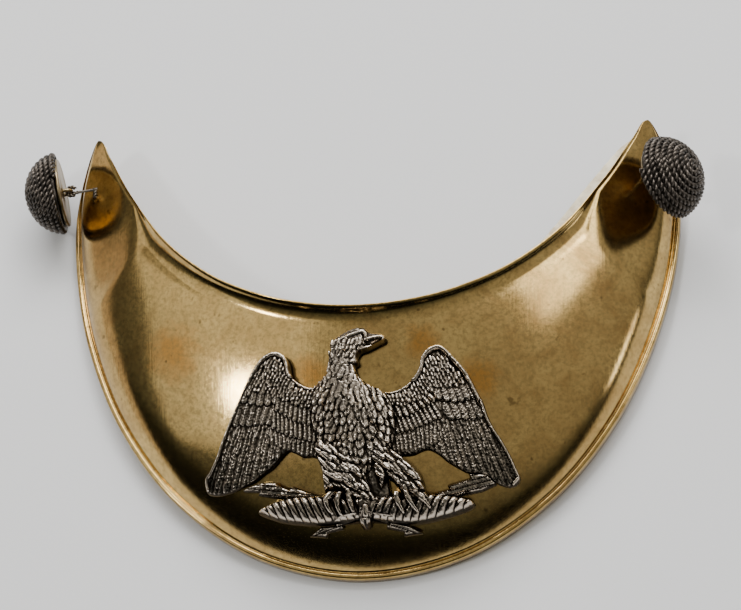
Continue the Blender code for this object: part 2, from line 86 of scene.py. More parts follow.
# Points across the dome stand closer at the shoulder by this power
DOME_SPACING = 1.3
# Sections and points of the even plate on which the other pieces are placed, and where its rays start
SEARCH_RIBS = 70
SEARCH_STEPS = 40
RAY_TOP = 80.0

# Neck roll on the flare: distance from the neck edge, rise over the flare
NECK_ROLL = (
    (0.00, 0.00),
    (0.07, 0.16),
    (0.18, 0.30),
    (0.34, 0.38),
    (0.54, 0.42),
    (0.74, 0.38),
    (0.94, 0.27),
    (1.14, 0.14),
    (1.40, 0.05),
    (1.80, 0.00),
    (2.30, 0.00),
    (2.90, 0.00),
    (3.50, 0.00),
    (4.00, 0.00),
)
# Groove, bead and turned-down lip: distance in from the outer edge, rise over the dome foot
RIM_EDGE = (
    (1.52, -0.05),
    (1.42, -0.08),
    (1.30, -0.04),
    (1.15, 0.05),
    (0.98, 0.11),
    (0.80, 0.13),
    (0.60, 0.13),
    (0.40, 0.08),
    (0.24, -0.03),
    (0.12, -0.20),
    (0.04, -0.45),
    (0.00, -0.75),
)
# Half of the crescent, middle to tip: neck edge x, y, z and outer edge x, y, z
STATIONS = (
    (0.0, -37.3, 24.4, 0.0, -91.4, 0.0),
    (10.6, -36.4, 24.2, 22.1, -86.9, 0.6),
    (21.2, -33.6, 23.4, 40.5, -74.8, 1.6),
    (32.3, -28.1, 21.8, 53.8, -58.2, 2.0),
    (43.0, -19.0, 19.2, 62.5, -39.0, 1.3),
    (52.0, -6.8, 16.0, 67.0, -20.1, 0.0),
    (58.0, 3.6, 13.4, 67.3, -4.2, 1.8),
    (61.4, 8.6, 11.8, 61.4, 8.6, 10.8),
)
TIP_TANGENT = (5.0, 1.0, -2.0, -5.0, 1.0, 5.0)
HOLE_X = 61.9
HOLE_Y = -2.4
HOLE_RADIUS = 1.05
STUD_HOLE_RADIUS = 1.25
STUD_AT = ((-16.5, -58.0), (18.5, -58.0))

# Leather edge behind the neck edge
LINING_FROM = 3.5
LINING_TO = 6.15
LINING_TUCK = 2.2
LINING_SHOW = 3.0
LINING_THICK = 0.8
LINING_DROP = 2.4
LINING_LEAST = 0.4
LINING_SAG = 0.3
LINING_STEPS = 120
LINING_WAVER = 0.10
LINING_WAVES = 26.0
LINING_EDGE_ANGLES = (-75.0, -45.0, -15.0, 15.0, 45.0, 75.0)

# Eagle casting: outlines in plan, the same as the solid's
EAGLE_GAP = 0.45
EAGLE_STEEPEST = 0.4
# Share of the net's width kept free of its points along the outlines
EAGLE_CLEAR = 0.45
# The casting's back takes each so many points of the net, this far from its edge
BACK_EVERY = 41
BACK_CLEAR = 0.5
WING_LEFT = (
    (-6.4, -54.0), (-8.5, -54.9), (-10.3, -54.5), (-12.1, -53.4), (-13.2, -51.9), (-13.6, -49.7),
    (-14.5, -48.1), (-16.4, -47.1), (-18.5, -47.5), (-20.3, -48.9), (-21.9, -51.1), (-23.3, -53.5),
    (-24.5, -55.9), (-25.9, -58.7), (-27.2, -61.3), (-28.7, -64.4), (-30.1, -67.7), (-31.7, -70.4),
    (-32.9, -71.8), (-32.8, -73.6), (-32.1, -74.5), (-30.0, -74.9), (-27.1, -74.7), (-25.3, -74.2),
    (-22.1, -73.2), (-19.9, -71.8), (-17.7, -70.5), (-14.5, -67.5), (-12.6, -67.8), (-10.8, -68.7),
    (-9.2, -68.6), (-6.1, -68.0),
)
WING_RIGHT = (
    (1.6, -53.9), (3.4, -55.1), (5.4, -55.9), (8.5, -56.1), (11.1, -54.9), (12.8, -53.2), (13.9, -51.2),
    (14.3, -49.2), (15.5, -47.5), (17.5, -46.5), (19.3, -46.9), (21.4, -48.9), (24.0, -51.8),
    (25.7, -55.0), (27.2, -57.9), (28.1, -60.5), (29.3, -62.9), (31.0, -65.4), (32.6, -68.2),
    (33.7, -70.6), (34.4, -72.3), (33.5, -73.6), (31.9, -74.1), (29.6, -73.6), (27.3, -72.2),
    (23.8, -71.9), (22.6, -71.5), (19.6, -69.9), (17.8, -68.5), (15.9, -67.6), (14.4, -67.8),
    (12.6, -68.6), (10.3, -68.8), (7.0, -68.3),
)
HEAD = (
    (-4.4, -50.8), (-4.7, -47.4), (-4.8, -45.8), (-3.7, -44.8), (-1.6, -43.5), (0.4, -42.7),
    (2.4, -42.5), (3.6, -43.5), (4.9, -43.7), (6.4, -44.0), (7.0, -44.6), (6.9, -45.4), (5.3, -46.3),
    (3.3, -47.3), (1.7, -47.9), (1.0, -49.0), (0.9, -50.6),
)
BODY = (
    (-4.8, -47.2), (-5.0, -49.5), (-5.5, -51.8), (-6.7, -54.0), (-8.2, -56.2), (-8.8, -59.2),
    (-8.7, -62.2), (-7.7, -65.3), (-6.9, -67.7), (-4.2, -69.8), (-1.0, -72.4), (2.2, -73.0),
    (4.4, -71.4), (6.4, -70.0), (8.0, -67.5), (8.9, -64.6), (9.0, -61.6), (8.2, -58.6), (6.5, -56.3),
    (3.5, -54.7), (1.7, -53.4), (0.6, -51.5), (0.6, -50.3), (0.7, -48.9),
)
THIGH_LEFT = (
    (-8.2, -66.4), (-5.5, -66.1), (-1.9, -67.2), (0.3, -69.0), (1.7, -71.0), (2.7, -73.1), (3.8, -76.0),
    (4.7, -78.0), (2.7, -78.2), (0.1, -77.6), (-2.1, -75.9), (-4.9, -75.5), (-6.3, -75.9),
    (-6.6, -72.2), (-7.5, -69.9),
)
THIGH_RIGHT = (
    (4.0, -66.6), (5.8, -66.0), (7.9, -67.7), (9.7, -69.1), (12.2, -71.1), (14.0, -72.8), (15.1, -76.3),
    (15.9, -77.8), (13.1, -77.9), (11.0, -77.3), (9.6, -75.7), (7.4, -73.5), (5.7, -75.7), (4.3, -71.4),
)
TAIL = (
    (2.4, -71.0), (3.9, -68.7), (5.7, -69.0), (7.1, -73.4), (7.3, -77.9), (2.2, -78.3),
)
SPINDLE = (
    (-21.2, -79.0), (-19.5, -78.0), (-16.4, -77.1), (-12.2, -76.6), (-8.1, -76.5), (-3.7, -76.6),
    (0.0, -76.9), (2.3, -77.0), (4.6, -76.9), (9.0, -76.7), (14.8, -76.4), (18.1, -76.4), (21.6, -76.7),
    (24.0, -77.0), (25.0, -77.8), (23.9, -78.8), (19.9, -80.3), (14.8, -81.6), (9.9, -82.1),
    (4.5, -81.6), (-0.3, -81.6), (-7.0, -82.1), (-11.5, -81.8), (-16.0, -81.1), (-19.0, -80.1),
)
RING = (
    (1.0, -77.2), (3.5, -77.2), (3.5, -81.7), (2.8, -82.7), (2.2, -82.9), (1.4, -82.7), (1.0, -81.7),
)
BOLT_UPPER_LEFT = (
    (-24.4, -74.5), (-22.7, -73.8), (-20.4, -73.3), (-16.9, -73.5), (-16.7, -73.9), (-14.1, -75.0),
    (-13.9, -74.3), (-7.5, -76.5), (-8.2, -77.1), (-13.8, -76.9), (-17.6, -76.4), (-21.0, -75.6),
    (-20.5, -75.1), (-24.0, -74.8),
)
BOLT_UPPER_RIGHT = (
    (29.6, -73.8), (27.6, -72.0), (23.9, -72.1), (24.2, -73.1), (19.4, -74.6), (20.0, -75.3),
    (15.2, -76.5), (16.2, -77.0), (21.5, -76.6), (21.9, -76.4), (26.5, -75.3),
)
BOLT_LOWER_LEFT = (
    (1.9, -80.3), (-2.5, -80.9), (-5.0, -81.7), (-4.4, -82.3), (-7.8, -82.4), (-10.2, -83.9),
    (-6.4, -84.2), (-6.2, -83.4), (-2.8, -82.8), (-2.9, -82.0), (1.1, -81.6),
)
BOLT_LOWER_RIGHT = (
    (2.6, -80.3), (8.1, -81.0), (8.0, -81.7), (10.9, -82.2), (13.8, -83.5), (9.9, -84.1), (9.9, -83.3),
    (6.4, -82.7), (6.4, -81.8), (3.4, -81.6),
)
# Kind, outline, edge height, further rise, width over which it rises, points for each corner when rounded
EAGLE_PARTS = (
    ("wing", WING_LEFT, 0.95, 0.35, 5.0, 4),
    ("wing", WING_RIGHT, 0.95, 0.35, 5.0, 4),
    ("bolt", BOLT_UPPER_LEFT, 0.9, 0.45, 0.8, 1),
    ("bolt", BOLT_UPPER_RIGHT, 0.9, 0.45, 0.8, 1),
    ("bolt", BOLT_LOWER_LEFT, 0.8, 0.4, 0.7, 1),
    ("bolt", BOLT_LOWER_RIGHT, 0.8, 0.4, 0.7, 1),
    ("tail", TAIL, 1.4, 0.8, 2.0, 3),
    ("body", BODY, 1.35, 3.1, 6.5, 4),
    ("head", HEAD, 1.5, 2.2, 3.0, 4),
    ("spindle", SPINDLE, 1.1, 2.3, 2.3, 3),
    ("thigh", THIGH_LEFT, 2.1, 2.2, 2.6, 3),
    ("thigh", THIGH_RIGHT, 2.1, 2.2, 2.6, 3),
    ("ring", RING, 3.3, 0.6, 1.2, 4),
)
# Rows of feathers: half width, height at root and tip, crown, feathers, line of roots, line of tips
WING_ROWS_LEFT = (
    (0.74, 0.95, 1.12, 0.42, 10, ((-26.3, -61.6), (-22.5, -61.3), (-19.0, -62.5), (-15.1, -65.9)),
     ((-32.3, -72.5), (-29.3, -74.7), (-23.3, -74.0), (-14.7, -68.4))),
    (0.52, 0.95, 1.20, 0.40, 11, ((-17.9, -62.6), (-13.3, -64.4), (-7.7, -65.8)),
     ((-17.5, -65.8), (-14.3, -67.6), (-10.4, -69.0), (-8.1, -68.7))),
    (0.86, 1.18, 1.55, 0.42, 6, ((-24.4, -57.5), (-20.6, -58.0), (-17.3, -59.0)),
     ((-25.7, -61.8), (-22.5, -62.0), (-18.3, -62.0))),
    (0.52, 1.18, 1.50, 0.38, 11, ((-17.1, -58.3), (-12.4, -61.3), (-7.2, -62.7)),
     ((-17.1, -63.0), (-12.9, -65.0), (-7.3, -66.3))),
    (0.84, 1.42, 1.82, 0.40, 5, ((-22.8, -53.9), (-19.7, -54.5), (-16.4, -55.3)),
     ((-23.8, -57.4), (-20.1, -58.2), (-16.8, -58.0))),
    (0.52, 1.42, 1.76, 0.36, 10, ((-15.9, -55.9), (-12.2, -57.3), (-7.3, -59.1)),
     ((-16.4, -59.5), (-12.3, -61.9), (-7.2, -63.0))),
)
WING_ROWS_RIGHT = (
    (0.74, 0.95, 1.12, 0.42, 10, ((17.8, -64.5), (21.2, -62.2), (24.5, -61.5), (28.0, -61.4)),
     ((19.6, -70.1), (23.4, -72.0), (28.7, -73.7), (34.0, -73.1))),
    (0.52, 0.95, 1.20, 0.40, 11, ((7.8, -64.1), (11.6, -63.7), (17.3, -61.3)),
     ((8.6, -68.2), (13.2, -68.1), (17.2, -66.6))),
    (0.86, 1.18, 1.55, 0.42, 6, ((19.2, -58.4), (23.0, -58.0), (26.9, -57.5)),
     ((20.8, -61.6), (24.5, -61.5), (28.2, -61.2))),
    (0.52, 1.18, 1.50, 0.38, 11, ((7.3, -61.0), (11.3, -61.0), (16.5, -58.2)),
     ((8.3, -64.7), (12.1, -64.0), (18.4, -61.5))),
    (0.80, 1.42, 1.82, 0.40, 6, ((17.2, -54.6), (20.2, -54.1), (23.9, -53.6)),
     ((18.4, -57.8), (21.8, -58.2), (25.7, -57.4))),
    (0.52, 1.42, 1.76, 0.36, 9, ((6.7, -58.2), (10.9, -58.3), (14.9, -55.8)),
     ((7.6, -61.6), (11.7, -61.2), (17.3, -58.1))),
)
# Small scales under the wings' arches: outline of each patch
SCALES_LEFT = (
    (-23.4, -55.5), (-21.8, -51.5), (-19.6, -48.9), (-16.8, -48.1), (-14.6, -49.4), (-13.6, -51.9),
    (-12.2, -54.7), (-8.8, -55.8), (-7.0, -56.3), (-7.1, -59.6), (-12.2, -57.8), (-16.4, -56.1),
    (-20.1, -55.1),
)
SCALES_RIGHT = (
    (3.0, -55.6), (6.8, -56.6), (11.0, -56.1), (13.9, -53.4), (14.8, -50.1), (17.1, -48.2),
    (19.4, -48.8), (21.9, -51.7), (23.9, -54.3), (20.2, -54.7), (17.3, -55.1), (14.9, -56.5),
    (10.9, -58.7), (6.7, -58.7),
)
# Raised rolls along the wings' edges: outline, corners followed, distance in, half width, height
WING_ROLLS = (
    (WING_LEFT, 1, 4, 0.35, 0.36, 1.9),
    (WING_LEFT, 4, 11, 0.58, 0.60, 2.45),
    (WING_LEFT, 11, 19, 0.40, 0.38, 1.9),
    (WING_RIGHT, 1, 5, 0.35, 0.36, 1.9),
    (WING_RIGHT, 5, 14, 0.60, 0.62, 2.45),
    (WING_RIGHT, 14, 21, 0.42, 0.40, 1.9),
)
# Bars over the relief: path x, y, radii, heights over the back
STROKES = (
    (((-4.2, -46.4), (-2.4, -45.4), (0.1, -44.5), (2.0, -43.9), (2.8, -44.3), (3.0, -45.0)),
     (0.32, 0.40, 0.42, 0.30), (3.0, 3.7, 3.9, 3.6)),
    (((2.9, -45.6), (4.7, -45.1), (6.0, -44.95), (6.6, -45.2)), (0.34, 0.30, 0.26), (3.4, 3.2, 2.9)),
    (((6.6, -45.3), (6.2, -46.1), (4.7, -46.8), (3.0, -47.3), (1.9, -47.6)), (0.26, 0.30, 0.34),
     (2.9, 3.0, 3.2)),
    (((-0.6, -46.0), (0.8, -45.6), (1.8, -46.1)), (0.34, 0.34, 0.22), (3.5, 3.6, 3.3)),
    (((0.6, -46.7), (0.65, -46.7)), (0.36, 0.36), (3.5, 3.5)),
    (((-5.7, -71.9), (-5.2, -74.2), (-4.2, -76.2)), (0.45, 0.5, 0.5), (3.4, 3.5, 4.0)),
    (((9.4, -72.1), (9.8, -74.4), (10.5, -75.9)), (0.45, 0.5, 0.5), (3.4, 3.5, 4.0)),
    (((-4.4, -76.6), (-5.7, -77.9), (-5.5, -79.4), (-4.7, -80.5)), (0.60, 0.55, 0.22), (4.5, 4.7, 4.0)),
    (((-2.8, -76.6), (-3.3, -77.9), (-3.4, -79.4), (-2.8, -80.8)), (0.60, 0.55, 0.22), (4.6, 4.8, 4.0)),
    (((-1.1, -76.5), (-0.8, -78.0), (-0.4, -79.5), (0.0, -80.7)), (0.60, 0.55, 0.22), (4.6, 4.8, 4.0)),
    (((9.4, -76.2), (9.1, -77.7), (9.7, -79.2), (10.4, -80.4)), (0.60, 0.55, 0.22), (4.5, 4.7, 4.0)),
    (((10.9, -75.8), (11.4, -77.5), (12.3, -79.0), (13.2, -80.1)), (0.60, 0.55, 0.22), (4.6, 4.8, 4.0)),
    (((12.4, -76.1), (13.7, -77.3), (14.9, -78.2), (15.9, -79.3)), (0.55, 0.50, 0.22), (4.4, 4.5, 3.8)),
    (((2.5, -79.6), (2.5, -80.9)), (0.62, 0.62), (4.7, 4.7)),
    (((2.3, -81.9), (2.3, -82.6)), (0.62, 0.55), (4.3, 4.1)),
)
# Height over the paper past which the casting is pressed lower, and how much of the rest is kept
PRESS_FROM = 24.6
PRESS_KEEP = 0.6

# Middle of the spindle, width of one twist of it and the slant of the twists
SPINDLE_X = 2.6
SPINDLE_Y = -80.0
SPINDLE_PITCH = 1.62
SPINDLE_SLANT = 0.48
# Width of one groove on the thunderbolts
BOLT_GROOVE = 0.85
# Height of the casting's pitted grain
GRAIN = 0.10

# Brass of the buttons' backs, clean and tarnished, both darkened as painted shade for the dark side of the
# plate that the backs face and mirror
BACK_CLEAN_SHADED = (0.36, 0.28, 0.16)
BACK_TARNISH_SHADED = (0.16, 0.12, 0.07)
# Brown stains on the plate: x, y, z, radius; and their colour
STAIN = (0.44, 0.20, 0.04)
STAINS = (
    (-40.0, -44.0, 15.0, 7.5),
    (-9.5, -51.0, 20.5, 5.0),
    (26.0, -52.5, 18.0, 5.5),
    (14.5, -45.0, 21.0, 5.0),
)

# Buttons: side, centre of the back x, y, z, direction of the dome x, y, z, shank turn in degrees
BUTTONS = (
    ("left", -69.1, -2.9, 9.75, -0.977, -0.195, 0.085, 90.0),
    ("right", 64.7, -7.8, 16.45, 0.824, 0.145, 0.547, 90.0),
)
BUTTON_BACK = 0.9
CORD_START = 0.25
CORD_RADIUS = 9.3
CORD_DEPTH = 8.6
SHANK_WIRE = 0.42
SHANK_RADIUS = 1.1
SHANK_STAND = 0.56
SHANK_STEPS = 24
# Turned back of a button: radius, height
BACK_PROFILE = (
    (0.01, 0.0), (1.75, 0.0), (1.95, 0.03), (2.0, 0.07), (6.7, 0.12), (7.0, 0.04), (7.3, 0.0),
    (7.5, 0.06), (7.64, 0.22), (7.68, 0.45), (7.62, 0.68), (7.4, 0.86), (7.2, 0.9), (0.01, 0.9),
)
BACK_SIDES = 96
# Core under the cord: rings, sides, depth under the dome in cord halves, gap over the brass back
CORE_RINGS = 17
CORE_SIDES = 64
CORE_DEEP = 1.15
CORE_SEAT = 0.15
# Strands of the cord as shares of half its width: radius, distance from its middle
CORD_STRAND = 0.53
CORD_SPREAD = 0.47
CORD_STEP = 0.26
# Tie wire: eye round the shank, run behind the tip, clearance in front, and its two strands
TIE_EYE = 1.04
TIE_EYE_FROM = -60.0
TIE_EYE_SWEEP = 300.0
TIE_EYE_STEPS = 12
TIE_BEHIND = 2.4
TIE_TURN = 2.0
TIE_CLEAR = 2.3
TIE_LAY = 1.5
TIE_STRAND = 0.24
TIE_SPREAD = 0.22

# Camera: the drawing point it looks at, directions to its right and back, distance, shift, lens, sensor
VIEW_TARGET = (0.0, -45.0, 10.0)
VIEW_RIGHT = (0.987, 0.030, -0.156)
VIEW_BACK = (0.156, -0.337, 0.928)
VIEW_DISTANCE = 600.0
VIEW_SHIFT = (0.0100, 0.0764)
VIEW_LENS = 135.6
VIEW_SENSOR = 36.0

# Half width of the paper and how far it lies under the rim, in metres
PAPER_HALF = 1.6
PAPER_DROP = 0.00002
# Lights: name, place, width and height in metres, power; all aim at one point
LIGHT_AIM = (0.0, 0.0, 10.0)
LIGHTS = (
    ("box left", (-600.0, -160.0, 1040.0), 0.13, 0.13, 2.6),
    ("box left glow", (-690.0, 60.0, 960.0), 0.9, 0.9, 1.7),
    ("far window", (1180.0, -100.0, 210.0), 0.3, 0.1, 0.5),
    ("box right", (575.0, 440.0, 1000.0), 0.6, 0.5, 3.4),
    ("box behind", (0.0, 900.0, 900.0), 1.2, 0.6, 22.0),
)
# Room: brightness along its lean from dark low front to pale high back, and the pale wall at the left
ROOM_LEAN = (("Y", 0.60), ("X", 0.28), ("Z", 0.65))
ROOM_RIGHT = 0.26
ROOM_LOW_RIGHT = -1.9
ROOM_LOW_UNDER = 0.42
ROOM_TONES = (
    (0.30, (0.006, 0.007, 0.006)),
    (0.42, (0.02, 0.023, 0.02)),
    (0.475, (0.10, 0.108, 0.095)),
    (0.56, (0.16, 0.165, 0.145)),
    (0.63, (0.25, 0.25, 0.22)),
    (0.72, (0.42, 0.41, 0.36)),
    (0.94, (0.58, 0.57, 0.52)),
)
PALE_WALL = (0.80, 0.70, 0.62)
PALE_LEAN = (("X", -1.0), ("Z", -1.0), ("Y", 0.25))
PALE_FROM = 0.78
PALE_FULL = 0.80


class PlateSizes(bpy.types.PropertyGroup):
    """Finish of the domed brass sheet."""

    ribs: IntProperty(
        name="Ribs", description="Sections along each half of the crescent", default=170, min=40, max=300
    )
    dome_steps: IntProperty(
        name="Dome steps", description="Points across the dome", default=64, min=16, max=120
    )
    waver: FloatProperty(
        name="Waver", description="Unevenness of the beaten sheet", default=0.035 * MM, unit="LENGTH"
    )
    brass: FloatVectorProperty(
        name="Brass", description="Colour of clean brass", default=(0.60, 0.415, 0.155), subtype="COLOR"
    )
    tarnish: FloatVectorProperty(
        name="Tarnish", description="Colour of tarnished brass", default=(0.34, 0.205, 0.07),
        subtype="COLOR"
    )


class EagleSizes(bpy.types.PropertyGroup):
    """Finish of the cast eagle."""

    grid: FloatProperty(
        name="Grid", description="Net of points of the casting", default=0.17 * MM, unit="LENGTH"
    )
    silver: FloatVectorProperty(
        name="Silver", description="Colour of worn silver", default=(0.66, 0.60, 0.52), subtype="COLOR"
    )
    hollow: FloatVectorProperty(
        name="Hollow", description="Colour of silver in the hollows", default=(0.022, 0.017, 0.012),
        subtype="COLOR"
    )


class ButtonSizes(bpy.types.PropertyGroup):
    """Cord winding of the buttons."""

    turns: FloatProperty(
        name="Turns", description="Turns of cord on each dome", default=9.6, min=4.0, max=14.0
    )
    lay: FloatProperty(
        name="Lay", description="Length of one twist of the cord", default=2.5 * MM, unit="LENGTH"
    )
    cord: FloatVectorProperty(
        name="Cord", description="Colour of the tarnished cord", default=(0.125, 0.105, 0.088),
        subtype="COLOR"
    )


class StageSizes(bpy.types.PropertyGroup):
    """Paper, light and room."""

    paper: FloatVectorProperty(
        name="Paper", description="Colour of the paper", default=(0.74, 0.74, 0.75), subtype="COLOR"
    )
    light: FloatProperty(name="Light", description="Strength of the lights", default=1.0, min=0.0, max=5.0)


def in_frame(x, y, z):
    """Drawing millimetres to frame metres."""
    return Vector(((x + SHIFT_X) * MM, (y + SHIFT_Y) * MM, z * MM))


def new_object(name, mesh, material, angle=40.0):
    """Object in the scene with one material, smooth but for edges sharper than the angle in degrees."""
    mesh.materials.clear()
    mesh.materials.append(material)
    mesh.shade_smooth()
    mesh.set_sharp_from_angle(angle=math.radians(angle))
    obj = bpy.data.objects.new(name, mesh)
    bpy.context.scene.collection.objects.link(obj)
    return obj


def curve(p0, p1, p2, p3, f):
    """Catmull-Rom point at share f of the way from p1 to p2."""
    return 0.5 * (2.0 * p1 + (p2 - p0) * f + (2.0 * p0 - 5.0 * p1 + 4.0 * p2 - p3) * f * f
                  + (3.0 * p1 - p0 - 3.0 * p2 + p3) * f ** 3)


def mirror_row(row):
    """The same station on the other side of the middle."""
    out = np.array(row, float)
    out[0] = -out[0]
    out[3] = -out[3]
    return out


def station(s):
    """Row of the crescent at signed position s, negative on the left."""
    t = abs(s)
    i = int(min(math.floor(t), len(STATIONS) - 2))
    f = t - i
    p1 = np.array(STATIONS[i], float)
    p2 = np.array(STATIONS[i + 1], float)
    p0 = np.array(STATIONS[i - 1], float) if i > 0 else mirror_row(STATIONS[1])
    if i + 2 < len(STATIONS):
        p3 = np.array(STATIONS[i + 2], float)
    else:
        p3 = p1 + 2.0 * np.array(TIP_TANGENT)
    row = curve(p0, p1, p2, p3, f)
    return row if s >= 0.0 else mirror_row(row)


def tip_spacing(share):
    """Station position for an even share, closer together near the tips."""
    last = len(STATIONS) - 1
    side = -1.0 if share < 0.0 else 1.0
    return side * last * (1.0 - (1.0 - abs(share)) ** 1.5)


def fall_share(w, flared):
    """Share of the dome's height lost at share w of the way from crease to foot."""
    power = SLOPE_POWER_TIP + (SLOPE_POWER - SLOPE_POWER_TIP) * flared ** 3
    return SLOPE_SHARE * w ** power + (1.0 - SLOPE_SHARE) * w ** SHOULDER_POWER


def section(row, steps):
    """Closed outline of the sheet across one station, as (d, z), and how many points are in front."""
    width = math.hypot(row[3] - row[0], row[4] - row[1])
    trim = min(1.0, width / FULL_TRIM_WIDTH)
    flared = trim * min(1.0, max(FLARE_LEAST, (width - FLARE_NONE) / (FLARE_FULL - FLARE_NONE)))
    foot = row[5] + LIP_DROP * trim + SHEET * (1.0 - trim)
    crease = row[2] - FLARE_RISE * flared
    start = FLARE_WIDTH * flared
    end = width - RIM_BAND * trim
    front = []
    for d, rise in NECK_ROLL:
        lift = FLARE_RISE * (1.0 - d / FLARE_WIDTH) ** FLARE_POWER
        front.append((d * flared, crease + (lift + rise) * flared))
    neck = front[0]
    valley = front[-3]
    dome = []
    for i in range(steps + 1):
        w = 1.0 - (1.0 - i / steps) ** DOME_SPACING
        dome.append((start + (end - start) * w, crease - (crease - foot) * fall_share(w, flared)))
    front += dome
    front += [(width - d * trim, foot + rise * trim) for d, rise in RIM_EDGE]
    wall = min(SHEET, width / 6.0)
    back = [
        (width, row[5] + 0.12 * trim),
        (width - 0.12 * wall, row[5]),
        (width - wall, row[5]),
        (width - wall, foot - SHEET),
        (end - 0.6 * wall, foot - 0.8 * SHEET),
    ]
    for i in range(steps - 2, 0, -2):
        run = dome[i + 1][0] - dome[i - 1][0]
        drop = dome[i + 1][1] - dome[i - 1][1]
        size = math.hypot(run, drop)
        shift = wall * drop / size if size > 0.0 else 0.0
        fall = SHEET * (trim * run / size + (1.0 - trim)) if size > 0.0 else SHEET
        back.append((dome[i][0] + shift, dome[i][1] - fall))
    thick = SHEET * (1.0 + (FLARE_SHEET - 1.0) * flared)
    for d, z in ((start, crease), valley, front[7], neck):
        back.append((d, z - thick))
    return front + back, len(front)


def place(row, d, z):
    """Point of a station at distance d from the neck edge and height z."""
    width = math.hypot(row[3] - row[0], row[4] - row[1])
    share = d / width if width > 0.001 else 0.0
    return Vector((row[0] + (row[3] - row[0]) * share, row[1] + (row[4] - row[1]) * share, z))


def loft(bm, loops):
    """Skin between point loops of the same length, with a face over each end."""
    rings = [[bm.verts.new(point) for point in loop] for loop in loops]
    count = len(rings[0])
    for a, b in zip(rings, rings[1:]):
        for i in range(count):
            j = (i + 1) % count
            bm.faces.new((a[i], a[j], b[j], b[i]))
    bm.faces.new(rings[0])
    bm.faces.new(list(reversed(rings[-1])))


def finish_mesh(bm, name, merge=0.008):
    """Weld, turn outwards, move to the frame and make a mesh from a bmesh in drawing millimetres."""
    bmesh.ops.remove_doubles(bm, verts=bm.verts, dist=merge)
    bmesh.ops.dissolve_degenerate(bm, edges=bm.edges, dist=0.0005)
    bmesh.ops.translate(bm, vec=(SHIFT_X, SHIFT_Y, 0.0), verts=bm.verts)
    bmesh.ops.scale(bm, vec=(MM, MM, MM), verts=bm.verts)
    bmesh.ops.recalc_face_normals(bm, faces=bm.faces)
    mesh = bpy.data.meshes.new(name)
    bm.to_mesh(mesh)
    bm.free()
    return mesh


def path_frames(points):
    """Each point of a path with two directions across it, which turn as little as possible."""
    across = None
    last = len(points) - 1
    for i, point in enumerate(points):
        axis = (points[min(i + 1, last)] - points[max(i - 1, 0)]).normalized()
        if across is None:
            across = axis.orthogonal().normalized()
        across = (across - axis * across.dot(axis)).normalized()
        yield point, across, axis.cross(across)


def tube(bm, points, radius, sides):
    """Round wire along a path, added to a bmesh."""
    angles = [2.0 * math.pi * k / sides for k in range(sides)]
    loft(bm, [
        [point + (across * math.cos(a) + other * math.sin(a)) * radius for a in angles]
        for point, across, other in path_frames(points)
    ])


def twisted_pair(bm, frames, lay, spread, radius, sides):
    """Two strands wound round each other along a path of points with two directions across it."""
    for offset in (0.0, math.pi):
        length = 0.0
        strand = []
        for i, (point, across, other) in enumerate(frames):
            if i:
                length += (point - frames[i - 1][0]).length
            phase = 2.0 * math.pi * length / lay + offset
            strand.append(point + (across * math.cos(phase) + other * math.sin(phase)) * spread)
        tube(bm, strand, radius, sides)


def smooth_path(points, per_step):
    """Catmull-Rom curve through points."""
    out = []
    count = len(points)
    for i in range(count - 1):
        p0 = points[max(i - 1, 0)]
        p1 = points[i]
        p2 = points[i + 1]
        p3 = points[min(i + 2, count - 1)]
        for k in range(per_step):
            f = k / per_step
            out.append(curve(p0, p1, p2, p3, f))
    out.append(points[-1])
    return out


def plate_blank(ribs, steps):
    """Even plate without holes, as a bmesh in drawing millimetres."""
    bm = bmesh.new()
    loops = []
    for i in range(-ribs, ribs + 1):
        row = station(tip_spacing(i / ribs))
        points, _count = section(row, steps)
        loops.append([place(row, d, z) for d, z in points])
    loft(bm, loops)
    return bm


def surface_at(bvh, x, y):
    """Point and normal of the plate's front under a plan position."""
    hit, normal, _index, _distance = bvh.ray_cast(Vector((x, y, RAY_TOP)), Vector((0.0, 0.0, -1.0)))
    if hit is None:
        raise ValueError("no plate under %.1f, %.1f" % (x, y))
    return hit, (normal if normal.z > 0.0 else -normal)


@functools.cache
def plate_surface():
    """Search tree of the even plate, for what stands on it."""
    bm = plate_blank(SEARCH_RIBS, SEARCH_STEPS)
    bvh = BVHTree.FromBMesh(bm)
    bm.free()
    return bvh


# Materials

def start_material(name, metallic=0.0):
    """New material with its node tree, shader and object coordinates."""
    material = bpy.data.materials.new(name)
    material.use_nodes = True
    tree = material.node_tree
    shader = tree.nodes["Principled BSDF"]
    shader.inputs["Metallic"].default_value = metallic
    return material, tree, shader, tree.nodes.new("ShaderNodeTexCoord").outputs["Object"]


def noise_node(tree, vector, scale, detail=4.0, rough=0.55, distortion=0.0):
    """Noise value at a vector; scale is its waves a metre."""
    made = tree.nodes.new("ShaderNodeTexNoise")
    made.inputs["Scale"].default_value = scale
    made.inputs["Detail"].default_value = detail
    made.inputs["Roughness"].default_value = rough
    made.inputs["Distortion"].default_value = distortion
    tree.links.new(vector, made.inputs["Vector"])
    return made.outputs["Fac"]


def ramp(tree, value, stops):
    """Colour looked up from a value, by (position, colour) stops."""
    made = tree.nodes.new("ShaderNodeValToRGB")
    made.color_ramp.elements[0].position = stops[0][0]
    made.color_ramp.elements[0].color = (*stops[0][1], 1.0)
    made.color_ramp.elements[1].position = stops[-1][0]
    made.color_ramp.elements[1].color = (*stops[-1][1], 1.0)
    for position, color in stops[1:-1]:
        made.color_ramp.elements.new(position).color = (*color, 1.0)
    tree.links.new(value, made.inputs["Fac"])
    return made.outputs["Color"]


def grey(value):
    return (value, value, value)


def mix_color(tree, share, a, b):
    """Colour between a and b; each is a colour or another node's output."""
    made = tree.nodes.new("ShaderNodeMix")
    made.data_type = "RGBA"
    tree.links.new(share, made.inputs[0])
    for socket, value in ((made.inputs[6], a), (made.inputs[7], b)):
        set_socket(tree, socket, value if isinstance(value, bpy.types.NodeSocket) else (*value, 1.0))
    return made.outputs[2]


